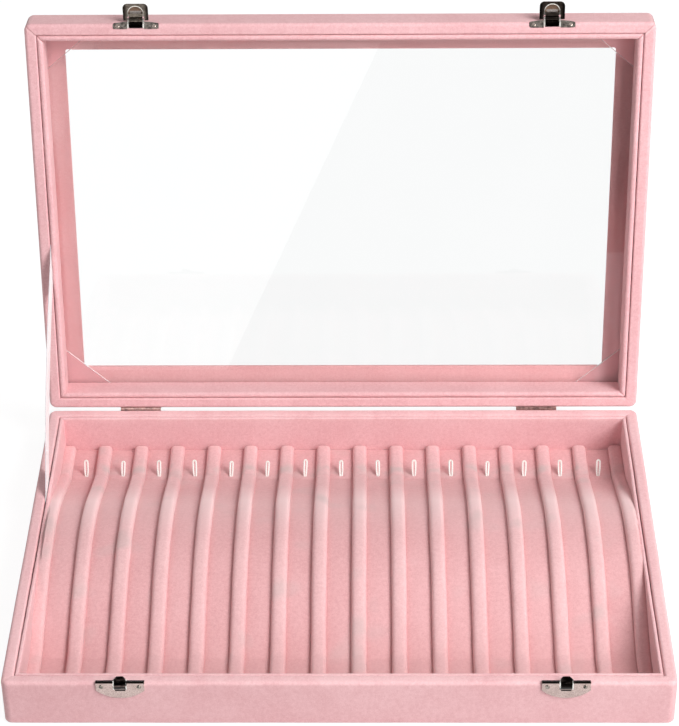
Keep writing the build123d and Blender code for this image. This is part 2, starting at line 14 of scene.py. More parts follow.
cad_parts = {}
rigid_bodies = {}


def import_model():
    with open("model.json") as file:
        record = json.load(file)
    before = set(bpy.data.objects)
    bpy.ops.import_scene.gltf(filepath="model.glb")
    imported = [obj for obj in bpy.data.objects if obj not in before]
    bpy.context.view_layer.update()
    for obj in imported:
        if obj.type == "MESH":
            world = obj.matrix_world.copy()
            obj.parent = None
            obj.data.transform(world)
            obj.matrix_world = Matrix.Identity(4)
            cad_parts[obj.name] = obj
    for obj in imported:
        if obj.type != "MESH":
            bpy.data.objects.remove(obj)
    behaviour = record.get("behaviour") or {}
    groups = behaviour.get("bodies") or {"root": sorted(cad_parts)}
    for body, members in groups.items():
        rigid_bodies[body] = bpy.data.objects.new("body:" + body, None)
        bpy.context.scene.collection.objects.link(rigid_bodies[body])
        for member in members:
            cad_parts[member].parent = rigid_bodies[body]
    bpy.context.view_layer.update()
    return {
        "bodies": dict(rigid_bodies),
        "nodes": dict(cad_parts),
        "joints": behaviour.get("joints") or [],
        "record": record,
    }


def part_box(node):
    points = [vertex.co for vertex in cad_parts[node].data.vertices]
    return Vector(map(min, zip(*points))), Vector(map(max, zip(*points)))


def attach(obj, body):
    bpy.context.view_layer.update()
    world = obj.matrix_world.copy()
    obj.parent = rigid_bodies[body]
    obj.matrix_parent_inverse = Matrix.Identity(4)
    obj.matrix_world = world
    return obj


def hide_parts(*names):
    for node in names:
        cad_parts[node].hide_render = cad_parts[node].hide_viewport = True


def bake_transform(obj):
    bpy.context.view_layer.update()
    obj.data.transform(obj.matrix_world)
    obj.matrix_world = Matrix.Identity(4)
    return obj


LOG = logging.getLogger("necklace_case")
MM = 0.001
IMAGE_WIDTH = 679
CASE_HALF = (175.0 * MM, 120.0 * MM)
PANE_HALF = (168.2 * MM, 113.2 * MM)
PANE_CLIP = (31.2 * MM, 27.0 * MM)
LATCH_MIDDLES = {"left": -112.9 * MM, "right": 117.4 * MM}
ACROSS, DEEP, UP = (1, 0, 0), (0, 1, 0), (0, 0, 1)
ARC_POINTS = 24
CORNER_POINTS = 8
SIDE_POINTS = 90
LEAST_CORNER = 0.4 * MM
LONGEST_RUN = 3.0 * MM

Array = np.ndarray
Colour = tuple[float, float, float]
Place = tuple[float, float, float]
Faces = list[list[int]]
Piece = bpy.types.Object
Socket = bpy.types.NodeSocket
Value = Socket | float


class Body(Enum):
    """The rigid bodies that the new pieces ride on."""

    TRAY = "tray"
    LID = "lid"


class Velvet(Enum):
    """Where a velvet surface lies, which sets how its pattern is laid out."""

    TRAY = "velvet_tray"
    LID = "velvet_lid"
    PAD = "velvet_pad"
    ROLL = "velvet_roll"
    FRAME = "velvet_frame"


class Metal(Enum):
    """The metal finishes of the hardware."""

    NICKEL = "nickel_plate"
    # Speckled: painted glints and painted dark reflection over the plating.
    SPECKLED = "speckled_nickel"
    # Near black sheets that stand in for shade.
    DARK_NICKEL = "dark_nickel"
    BRONZE = "dark_bronze"


def linear(red: int, green: int, blue: int) -> Colour:
    """Linear colour of an sRGB colour given in 0 to 255.

    Each level c is taken to ((c + 0.055) / 1.055) ** 2.4, or to c / 12.92 near black.

    Args:
        red: red level.
        green: green level.
        blue: blue level.

    Returns:
        The three linear levels.
    """
    encoded = np.array([red, green, blue]) / 255
    low = encoded / 12.92
    high = ((encoded + 0.055) / 1.055) ** 2.4
    return tuple(float(c) for c in np.where(encoded <= 0.04045, low, high))


@dataclass(frozen=True)
class Noise:
    """A noise texture: how many patches it has to a metre, its detail and its roughness."""

    scale: float
    detail: float = 2
    rough: float = 0.5


@dataclass(frozen=True)
class Ramp:
    """A straight way from one range of values to another, level beyond both ends."""

    low: float
    high: float
    to_low: float = 0.0
    to_high: float = 1.0


@dataclass(frozen=True)
class Relief:
    """How strong a bump is, and how deep in metres."""

    strength: float
    depth: float


class Graph:
    """Builds the node tree of a material or of the world."""

    def __init__(self, owner: bpy.types.Material | bpy.types.World) -> None:
        """Switches the owner's nodes on and empties its tree.

        Args:
            owner: the material or the world.
        """
        owner.use_nodes = True
        self.owner = owner
        self.tree = owner.node_tree
        self.tree.nodes.clear()

    @classmethod
    def material(cls, name: str) -> "Graph":
        """An empty tree under a new material of that name."""
        return cls(bpy.data.materials.new(name))

    def node(self, kind: str, values: dict | None = None, **settings: object) -> bpy.types.Node:
        """Adds a node.

        Args:
            kind: the node's type name.
            values: input name or index to a value, or to a socket that is linked in.
            settings: properties of the node.

        Returns:
            The new node.
        """
        made = self.tree.nodes.new(kind)
        for key, value in settings.items():
            setattr(made, key, value)
        for key, value in (values or {}).items():
            if isinstance(value, Socket):
                self.tree.links.new(value, made.inputs[key])
            else:
                made.inputs[key].default_value = value
        return made

    def first(self, kind: str, values: dict | None = None, **settings: object) -> Socket:
        """The first output of a new node."""
        return self.node(kind, values, **settings).outputs[0]

    def place(self) -> Socket:
        """The position in the object's own frame."""
        return self.node("ShaderNodeTexCoord").outputs["Object"]

    def attribute(self, name: str) -> Socket:
        """The value of one of the mesh's attributes."""
        return self.node("ShaderNodeAttribute", attribute_name=name).outputs["Fac"]

    def strip(self) -> tuple[Socket, Socket]:
        """The two coordinates of the UV map named strip: across or around, and along."""
        axes = self.node("ShaderNodeSeparateXYZ", {0: self.first("ShaderNodeUVMap", uv_map="strip")})
        return axes.outputs[0], axes.outputs[1]

    def math(self, operation: str, *values: Value) -> Socket:
        """The output of a Math node over up to three numbers or sockets."""
        return self.first("ShaderNodeMath", dict(enumerate(values)), operation=operation)

    def times(self, start: Value, *others: Value) -> Socket:
        """The product of two or more values.

        Args:
            start: the first of them.
            others: the rest.

        Returns:
            The product.
        """
        for other in others:
            start = self.math("MULTIPLY", start, other)
        return start

    def away(self, value: Value, middle: Value) -> Socket:
        """How far a value is from a middle, to either side."""
        return self.math("ABSOLUTE", self.math("SUBTRACT", value, middle))

    def dot(self, vector: Socket, way: Place) -> Socket:
        """How far a position lies along a direction."""
        values = {0: vector, 1: tuple(float(c) for c in way)}
        return self.node("ShaderNodeVectorMath", values, operation="DOT_PRODUCT").outputs["Value"]

    def stretched(self, vector: Socket, scale: Place) -> Socket:
        """A position scaled along each axis."""
        return self.first("ShaderNodeMapping", {"Vector": vector, "Scale": scale})

    def ramp(self, value: Value, over: Ramp) -> Socket:
        """A value spread over a ramp, by a Map Range node that is clamped."""
        values = (value, over.low, over.high, over.to_low, over.to_high)
        return self.first("ShaderNodeMapRange", dict(enumerate(values)))

    def noise(self, vector: Socket, texture: Noise) -> Socket:
        """The factor of a Noise Texture."""
        values = {"Scale": texture.scale, "Detail": texture.detail, "Roughness": texture.rough}
        return self.first("ShaderNodeTexNoise", {"Vector": vector, **values})

    def mix(self, share: Value, base: Socket | Colour, over: Socket | Colour) -> Socket:
        """The colour of a Mix node.

        Args:
            share: how much of the second colour shows.
            base: the first colour.
            over: the second colour.

        Returns:
            The mixed colour.
        """
        ends = {key: end if isinstance(end, Socket) else (*end, 1) for key, end in ((6, base), (7, over))}
        return self.node("ShaderNodeMix", {0: share, **ends}, data_type="RGBA").outputs[2]

    def bump(self, height: Value, relief: Relief, under: Socket | None = None) -> Socket:
        """The normal of a Bump node.

        Args:
            height: what stands proud.
            relief: how strong and how deep it is.
            under: the normal that it is laid over, if any.

        Returns:
            The normal.
        """
        values = {"Height": height, "Strength": relief.strength, "Distance": relief.depth}
        if under is not None:
            values["Normal"] = under
        return self.first("ShaderNodeBump", values)

    def glow(self, strength: Value) -> Socket:
        """A white light of some strength."""
        return self.first("ShaderNodeEmission", {"Strength": strength})

    def either(self, share: Value, base: Socket, over: Socket) -> Socket:
        """The shader between a base and the one laid over it by share."""
        return self.first("ShaderNodeMixShader", {0: share, 1: base, 2: over})

    def surface(self, values: dict) -> Socket:
        """The shader of a Principled node with these inputs."""
        return self.first("ShaderNodeBsdfPrincipled", values)

    def finish(self, shader: Socket) -> bpy.types.Material:
        """Links the shader to the output and returns the material."""
        self.node("ShaderNodeOutputMaterial", {"Surface": shader})
        return self.owner


@dataclass(frozen=True)
class VelvetFinish:
    """Short dense velvet: pale pile tips over a deeper ground, brushed patches and grain, a pale rim band of
    abrasion and painted sheen, and painted shade, light and reflection in places.
    """

    kind: Velvet
    deep: Colour = linear(224, 170, 174)
    pale: Colour = linear(239, 194, 197)
    # Pale colour for abrasion on the rims, and for painted highlights behind the pad's ridge and beside the
    # mitres.
    wear_and_highlight: Colour = linear(243, 211, 211)
    # Grey of the painted sheen patches on the pad.
    grey: Colour = linear(204, 182, 180)
    # Painted shade towards the pad's front.
    dim: Colour = linear(212, 158, 158)
    # Painted shade in the mitres' valleys.
    fold: Colour = linear(176, 118, 120)
    # Painted shade in the corners that the pane leaves bare.
    bare_corner_shade: Colour = linear(208, 160, 164)
    # Painted light on the frame's underside along the latches' side.
    front_painted_light: Colour = linear(255, 200, 200)
    # Painted reflection beside the pane at the back right.
    side_painted_reflection: Colour = linear(255, 214, 217)
    sheen_tint: Colour = linear(238, 224, 222)

    # The pale rim band: abrasion with painted sheen.
    rim_wear_and_sheen: bool = False
    under_pane: bool = False
    mitred: bool = False
    # Share of the grey painted sheen patches.
    sheen_patch_share: float = 0.0
    # Share of the painted shade towards the front.
    front_shade_share: float = 0.0
    # Share of the painted light behind the ridge.
    back_light: float = 0.0
    turn: float = 0.0
    shift: Place = (0.0, 0.0, 0.0)

    nap_stretch: Place = (1.0, 0.16, 1.0)
    patches: Noise = Noise(24.0, 3, 0.55)
    streaks: Noise = Noise(70.0, 3, 0.6)
    tufts: Noise = Noise(520.0, 3, 0.65)
    pile: Noise = Noise(1500.0, 2, 0.7)
    brushing: Ramp = Ramp(0.35, 0.65, 0.36, 0.64)
    grain_range: tuple[float, float] = (0.3, 0.7)
    grain_shares: tuple[float, float, float] = (0.12, 0.3, 0.35)
    rim_band_patches: Ramp = Ramp(0.3, 0.6, 0.0, 0.3)
    patch_relief: Relief = Relief(0.15, 1.0 * MM)
    tuft_relief: Relief = Relief(0.22, 0.3 * MM)
    pile_relief: Relief = Relief(0.4, 0.12 * MM)

    # Where the pad's painted shade, light and sheen patches lie.
    front_from: tuple[float, float] = (-55.0 * MM, -100.0 * MM)
    light_y: tuple[float, float, float] = (0.0, 36.0 * MM, 62.0 * MM)
    folds_y: tuple[float, float] = (86.5 * MM, -98.5 * MM)
    fold_band: Ramp = Ramp(1.0 * MM, 7.0 * MM, 1.0, 0.0)
    blotches: Noise = Noise(110.0, 1, 0.4)
    blotch_range: Ramp = Ramp(0.4, 0.6, 0.2, 1.0)
    strays: Noise = Noise(45.0, 1, 0.5)
    stray_range: Ramp = Ramp(0.6, 0.75, 0.0, 0.6)

    # Where the painted light, reflection and shade lie on the frame's underside.
    underside: Ramp = Ramp(46.1 * MM, 46.4 * MM, 1.0, 0.0)
    bare_corner: Ramp = Ramp(0.96, 1.02, 0.0, 0.7)
    front_band: Ramp = Ramp(-96.0 * MM, -101.0 * MM, 0.0, 0.75)
    side_band: Ramp = Ramp(150.0 * MM, 153.0 * MM, 0.0, 0.9)
    side_from: Ramp = Ramp(25.0 * MM, 26.5 * MM)

    # The mitres' painted shade and highlight.
    mitre_wander: Ramp = Ramp(0.3, 0.7, -0.25 * MM, 0.25 * MM)
    valley: Ramp = Ramp(0.1 * MM, 0.75 * MM, 1.0, 0.0)
    ridge: Ramp = Ramp(0.2 * MM, 0.9 * MM, 1.0, 0.0)
    ridge_beside: float = 1.3 * MM
    mitre_fade: Ramp = Ramp(-20.0 * MM, 20.0 * MM, 0.4, 0.1)
    mitre_relief: Relief = Relief(0.6, -0.6 * MM)

    def sheen_patches(self, g: Graph, level: Socket, y: Socket) -> Socket:
        """How much grey painted sheen shows: blotches that gather in two bands along the pad's folds.

        Args:
            g: the tree to build in.
            level: the position.
            y: how far back it lies.

        Returns:
            A share from 0 to 1.
        """
        band = g.ramp(g.math("MINIMUM", *[g.away(y, fold) for fold in self.folds_y]), self.fold_band)
        blotch = g.ramp(g.noise(level, self.blotches), self.blotch_range)
        stray = g.ramp(g.noise(level, self.strays), self.stray_range)
        return g.times(g.math("MAXIMUM", g.times(band, blotch), stray), self.sheen_patch_share)

    def on_pad(self, g: Graph, level: Socket, ground: Socket) -> Socket:
        """The colour on the pad: painted shade towards the front, painted light behind the ridge and grey
        painted sheen.

        Args:
            g: the tree to build in.
            level: the position.
            ground: the colour so far.

        Returns:
            The colour, with painted shade, painted light and painted sheen.
        """
        y = g.dot(level, DEEP)
        # Painted shade towards the front.
        ground = g.mix(g.ramp(y, Ramp(*self.front_from, 0.0, self.front_shade_share)), ground, self.dim)
        start, middle, end = self.light_y
        # Painted light on the slope behind the ridge.
        hump = g.times(g.ramp(y, Ramp(start, middle)), g.ramp(y, Ramp(middle, end, 1.0, 0.0)))
        ground = g.mix(g.times(hump, self.back_light), ground, self.wear_and_highlight)
        # Grey painted sheen patches.
        return g.mix(self.sheen_patches(g, level, y), ground, self.grey)

    def under_glass(self, g: Graph, level: Socket, ground: Socket) -> Socket:
        """The colour of the frame's underside, which the pane lies on.

        It has painted light along the latches' side, a painted reflection beside the pane at the back
        right, and painted shade in the corners that the pane leaves bare. There (|x| - a) / c + (|y| - b) /
        d is more than 1, where c and d are the clip's lengths and a and b are the pane's half sizes less c
        and d.

        Args:
            g: the tree to build in.
            level: the position, as if the lid were shut.
            ground: the colour so far.

        Returns:
            The colour on the underside, and the same as before elsewhere.
        """
        x, y = g.dot(level, ACROSS), g.dot(level, DEEP)
        past = [
            g.math("DIVIDE", g.math("SUBTRACT", g.math("ABSOLUTE", reach), half - clip), clip)
            for reach, half, clip in zip((x, y), PANE_HALF, PANE_CLIP)
        ]
        inside = g.ramp(g.dot(level, UP), self.underside)
        # Painted light along the latches' side.
        ground = g.mix(g.times(inside, g.ramp(y, self.front_band)), ground, self.front_painted_light)
        # Painted reflection beside the pane at the back right.
        beside = g.times(inside, g.ramp(x, self.side_band), g.ramp(y, self.side_from))
        ground = g.mix(beside, ground, self.side_painted_reflection)
        # Painted shade in the bare corners.
        bare = g.times(inside, g.ramp(g.math("ADD", *past), self.bare_corner))
        return g.mix(bare, ground, self.bare_corner_shade)

    def mitre(
        self, g: Graph, level: Socket, tufts: Socket, ground: Socket, soft: Socket
    ) -> tuple[Socket, Socket]:
        """The fold of the cloth along each mitre: a valley with painted shade, and a painted highlight on a
        ridge beside it.

        It lies where |x| - |y| is the case's half width less its half depth, and both valley and
        ridge are plainest at the latches' side.

        Args:
            g: the tree to build in.
            level: the position, as if the lid were shut.
            tufts: the texture that the fold's line wanders with.
            ground: the colour so far.
            soft: the normal so far.

        Returns:
            The colour and the normal.
        """
        x, y = (g.math("ABSOLUTE", g.dot(level, way)) for way in (ACROSS, DEEP))
        line = g.math("SUBTRACT", g.math("SUBTRACT", x, y), CASE_HALF[0] - CASE_HALF[1])
        off = g.math("ADD", line, g.ramp(tufts, self.mitre_wander))
        near = g.ramp(g.dot(level, DEEP), self.mitre_fade)
        # Painted shade in the valley, bumped in too, and a painted highlight on the ridge.
        sunk = g.times(g.ramp(g.math("ABSOLUTE", off), self.valley), near)
        lit = g.times(g.ramp(g.away(off, self.ridge_beside), self.ridge), near)
        ground = g.mix(sunk, g.mix(lit, ground, self.wear_and_highlight), self.fold)
        return ground, g.bump(sunk, self.mitre_relief, soft)

    def build(self) -> bpy.types.Material:
        """Makes the velvet.

        The colour goes from deep to pale by brushed patches some centimetres wide, streaks along the
        nap, tufts about 2 mm wide and the pile's own grain. On the boards it goes to a pale colour in a
        band at the rim, abrasion and painted sheen together, where the boards' attribute gives it. The
        bump is the grain over soft unevenness of the cloth.

        Returns:
            The material.
        """
        g = Graph.material(self.kind.value)
        laid = {"Vector": g.place(), "Rotation": (self.turn, 0, 0), "Location": self.shift}
        level = g.first("ShaderNodeMapping", laid)
        patches = g.noise(level, self.patches)
        streaks = g.noise(g.stretched(level, self.nap_stretch), self.streaks)
        tufts, pile = g.noise(level, self.tufts), g.noise(level, self.pile)
        brushed = g.ramp(patches, self.brushing)
        for texture, share in zip((streaks, tufts, pile), self.grain_shares):
            brushed = g.math("ADD", brushed, g.ramp(texture, Ramp(*self.grain_range, -share, share)))
        ground = g.mix(brushed, self.deep, self.pale)
        soft = g.bump(patches, self.patch_relief)
        # Painted shade, light and sheen on the pad.
        if self.sheen_patch_share:
            ground = self.on_pad(g, level, ground)
        # A pale band at the rims: abrasion with painted sheen.
        if self.rim_wear_and_sheen:
            wear_and_sheen_band = g.times(g.attribute("wear_and_shine"), g.ramp(streaks, self.rim_band_patches))
            ground = g.mix(wear_and_sheen_band, ground, self.wear_and_highlight)
        # Painted light, reflection and shade on the frame's underside.
        if self.under_pane:
            ground = self.under_glass(g, level, ground)
        # Painted shade and highlight along the mitres.
        if self.mitred:
            ground, soft = self.mitre(g, level, tufts, ground, soft)
        values = {
            "Base Color": ground,
            "Roughness": 0.95,
            "Specular IOR Level": 0.1,
            "Sheen Weight": 0.85,
            "Sheen Roughness": 0.35,
            "Sheen Tint": (*self.sheen_tint, 1),
            "Normal": g.bump(pile, self.pile_relief, g.bump(tufts, self.tuft_relief, soft)),
        }
        return g.finish(g.surface(values))


@dataclass(frozen=True)
class ClothFinish:
    """Flat woven base cloth: fine plain weave in dull pink."""

    name: str = "base_cloth"
    warp: Colour = linear(214, 150, 156)
    weft: Colour = linear(202, 136, 143)
    threads_per_metre: float = 2200.0
    mottles: Noise = Noise(60.0, 3)
    mottling: Ramp = Ramp(0.3, 0.7, 0.7, 1.0)
    relief: Relief = Relief(0.4, 0.1 * MM)

    def build(self) -> bpy.types.Material:
        """Makes the cloth: two sets of threads as sine waves along X and Y, crossed by multiplication.

        Returns:
            The material.
        """
        g = Graph.material(self.name)
        place = g.place()
        waves = self.threads_per_metre * math.tau / 2
        weave = g.times(*[g.math("SINE", g.times(g.dot(place, way), waves)) for way in (ACROSS, DEEP)])
        mottles = g.ramp(g.noise(place, self.mottles), self.mottling)
        mottled = g.times(g.ramp(weave, Ramp(-1.0, 1.0)), mottles)
        values = {
            "Base Color": g.mix(mottled, self.weft, self.warp),
            "Roughness": 0.9,
            "Specular IOR Level": 0.2,
            "Sheen Weight": 0.2,
            "Normal": g.bump(weave, self.relief),
        }
        return g.finish(g.surface(values))


@dataclass(frozen=True)
class SatinFinish:
    """White satin ribbon: long floats across the strip, a woven edge and a soft gloss."""

    name: str = "white_satin"
    light: Colour = linear(254, 254, 254)
    shade: Colour = linear(206, 204, 208)
    ribs: float = 520.0
    rib_shade: Ramp = Ramp(-1.0, 1.0, 0.0, 0.12)
    edge_band: Ramp = Ramp(0.44, 0.485)
    edge_shade: float = 0.85
    gloss: Ramp = Ramp(0.0, 1.0, 0.38, 0.6)
    relief: Relief = Relief(0.15, 0.05 * MM)

    def build(self) -> bpy.types.Material:
        """Makes the satin from the strip's own UV map: fine ribs along its length, darker at the selvedge.

        Returns:
            The material.
        """
        g = Graph.material(self.name)
        across, along = g.strip()
        ribs = g.math("SINE", g.times(along, self.ribs * math.tau))
        selvedge = g.ramp(g.away(across, 0.5), self.edge_band)
        shade = g.math("ADD", g.ramp(ribs, self.rib_shade), g.times(selvedge, self.edge_shade))
        values = {
            "Base Color": g.mix(shade, self.light, self.shade),
            "Roughness": g.ramp(selvedge, self.gloss),
            "Sheen Weight": 0.3,
            "Normal": g.bump(ribs, self.relief),
        }
        return g.finish(g.surface(values))


@dataclass(frozen=True)
class CordFinish:
    """White elastic cord: a fine spiral of yarn round the core."""

    name: str = "white_elastic"
    light: Colour = linear(255, 252, 247)
    shade: Colour = linear(226, 216, 210)
    yarns: float = 2.0
    twists: float = 26.0
    yarn_shade: Ramp = Ramp(-1.0, 0.4, 0.6, 0.0)
    relief: Relief = Relief(0.5, 0.12 * MM)

    def build(self) -> bpy.types.Material:
        """Makes the cord from its UV map: the yarn's slant is a sine of around plus along.

        Returns:
            The material.
        """
        g = Graph.material(self.name)
        around, along = g.strip()
        slant = g.math("ADD", g.times(around, self.yarns), g.times(along, self.twists))
        yarn = g.math("SINE", g.times(slant, math.tau))
        values = {
            "Base Color": g.mix(g.ramp(yarn, self.yarn_shade), self.light, self.shade),
            "Roughness": 0.7,
            "Sheen Weight": 0.25,
            "Normal": g.bump(yarn, self.relief),
        }
        return g.finish(g.surface(values))


@dataclass(frozen=True)
class MetalFinish:
    """Plated sheet, stamped to shape: metallic, with faint brushing, pale marks and dull patches, which on
    the speckled finish are painted glints and painted dark reflection.
    """

    kind: Metal
    face: Colour
    edge: Colour
    # Dull patches: oxide, and painted dark reflection on the speckled finish.
    tarnish_and_dark_reflection: Colour
    roughness: float
    tarnish_and_reflection_share: float
    fineness: float = 260.0
    # Above zero, painted highlights on the cheeks' edges, this far from a latch's middle.
    lit_across: float = 0.0
    brush_stretch: Place = (0.08, 1.0, 1.0)
    brushing: Noise = Noise(6000.0, 2)
    dulling: tuple[float, float] = (0.42, 0.7)
    marks: Noise = Noise(900.0, 3, 0.7)
    marking: Ramp = Ramp(0.6, 0.75, 0.0, 0.7)
    cheek_band: Ramp = Ramp(0.35 * MM, 0.55 * MM, 1.0, 0.0)
    cheek_highlight_patches: Ramp = Ramp(0.35, 0.5, 0.4, 1.0)
    roughening: Ramp = Ramp(0.3, 0.7, -0.05, 0.08)
    relief: Relief = Relief(0.06, 0.03 * MM)

    def build(self) -> bpy.types.Material:
        """Makes the metal: dull patches, pale marks, and brushing as long thin noise. The patches are oxide,
        and painted dark reflection on the speckled finish; the marks are abrasion, and painted glints on
        the speckled finish.

        With lit_across above zero, a painted highlight lies that far to either side of a latch's middle:
        there the sheet turns up as the cheek that holds the pin.

        Returns:
            The material.
        """
        g = Graph.material(self.kind.value)
        place = g.place()
        patches = g.noise(place, Noise(self.fineness, 4, 0.6))
        brushing = g.noise(g.stretched(place, self.brush_stretch), self.brushing)
        dull = g.ramp(patches, Ramp(*self.dulling, 0.0, self.tarnish_and_reflection_share))
        wear_and_highlight = g.ramp(g.noise(place, self.marks), self.marking)
        colour = g.mix(wear_and_highlight, g.mix(dull, self.face, self.tarnish_and_dark_reflection), self.edge)
        # Painted highlight on the cheeks' edges.
        if self.lit_across:
            x = g.dot(place, ACROSS)
            nearest = g.math("MINIMUM", *[g.away(x, middle) for middle in LATCH_MIDDLES.values()])
            band = g.ramp(g.away(nearest, self.lit_across), self.cheek_band)
            colour = g.mix(g.times(band, g.ramp(patches, self.cheek_highlight_patches)), colour, self.edge)
        values = {
            "Base Color": colour,
            "Metallic": 1.0,
            "Roughness": g.math("ADD", g.ramp(patches, self.roughening), self.roughness),
            "Normal": g.bump(brushing, self.relief),
        }
        return g.finish(g.surface(values))


@dataclass(frozen=True)
class HaspFinish:
    """A latch flap's plating: brown dish with a painted highlight on its rim, grey tab and painted dark
    reflection on the sides.
    """

    name: str
    pivot: Place
    along: Place
    facing: Place
    face: Colour = linear(132, 122, 112)
    # Painted dark reflection on the flap's sides.
    side: Colour = linear(44, 38, 34)
    # Brown of the dish: patina with painted dark reflection.
    brown: Colour = linear(128, 98, 78)
    tab: Colour = linear(150, 142, 138)
    # Painted highlight along the dish's rim.
    bright: Colour = linear(250, 246, 238)
    dish_centre: float = 4.0 * MM
    dish_radius: float = 4.2 * MM
    dish_floor: Ramp = Ramp(0.7 * MM, 1.0 * MM)
    dish_line: Ramp = Ramp(0.15 * MM, 0.42 * MM, 1.0, 0.0)
    arch_fade: Ramp = Ramp(0.2 * MM, 3.4 * MM, 0.15, 1.0)
    sides: Ramp = Ramp(4.7 * MM, 6.1 * MM)
    tab_length: Ramp = Ramp(4.6 * MM, 5.2 * MM, 1.0, 0.0)
    tab_half: Ramp = Ramp(2.9 * MM, 3.5 * MM, 1.0, 0.0)
    wobble: Noise = Noise(420.0, 3)
    wobbling: Ramp = Ramp(0.3, 0.7, -0.35 * MM, 0.35 * MM)
    patches: Noise = Noise(700.0, 4, 0.65)
    face_marks: Ramp = Ramp(0.35, 0.7, 0.0, 0.8)
    dish_marks: Ramp = Ramp(0.3, 0.7, 0.0, 0.6)
    gloss: Ramp = Ramp(0.3, 0.7, 0.16, 0.34)
    # Less metallic in the dish and on its rim, so that the painted colours show.
    plating: Ramp = Ramp(0.0, 1.0, 1.0, 0.35)
    relief: Relief = Relief(0.12, 0.06 * MM)

    def build(self) -> bpy.types.Material:
        """Makes the plating from the distance to the dish's centre line.

        With x across the flap from its middle and t along it from the pin, the distance is the root
        of x squared plus the square of t beyond the dish's centre, so its contours are the arch.

        Returns:
            The material.
        """
        g = Graph.material(self.name)
        place = g.place()
        pivot = np.array(self.pivot)
        across = g.away(g.dot(place, ACROSS), self.pivot[0])
        length = g.math("SUBTRACT", g.dot(place, self.along), float(pivot @ self.along))
        depth = g.math("SUBTRACT", float(pivot @ self.facing), g.dot(place, self.facing))
        beyond = g.math("MAXIMUM", g.math("SUBTRACT", length, self.dish_centre), 0.0)
        distance = g.math("SQRT", g.math("ADD", g.math("POWER", across, 2.0), g.math("POWER", beyond, 2.0)))
        patches = g.noise(place, self.patches)
        wobble = g.ramp(g.noise(place, self.wobble), self.wobbling)
        # Painted dark reflection on the sides.
        outer = g.ramp(g.math("ADD", across, wobble), self.sides)
        colour = g.mix(outer, g.mix(g.ramp(patches, self.face_marks), self.face, self.side), self.side)
        tongue = g.times(g.ramp(length, self.tab_length), g.ramp(across, self.tab_half))
        low = g.mix(tongue, g.mix(g.ramp(patches, self.dish_marks), self.brown, self.side), self.tab)
        sunk = g.ramp(depth, self.dish_floor)
        # Painted highlight along the dish's arch.
        line = g.ramp(g.away(distance, self.dish_radius), self.dish_line)
        arch = g.times(line, g.ramp(beyond, self.arch_fade))
        values = {
            "Base Color": g.mix(arch, g.mix(sunk, colour, low), self.bright),
            "Metallic": g.ramp(g.math("MAXIMUM", sunk, arch), self.plating),
            "Roughness": g.ramp(patches, self.gloss),
            "Normal": g.bump(patches, self.relief),
        }
        return g.finish(g.surface(values))


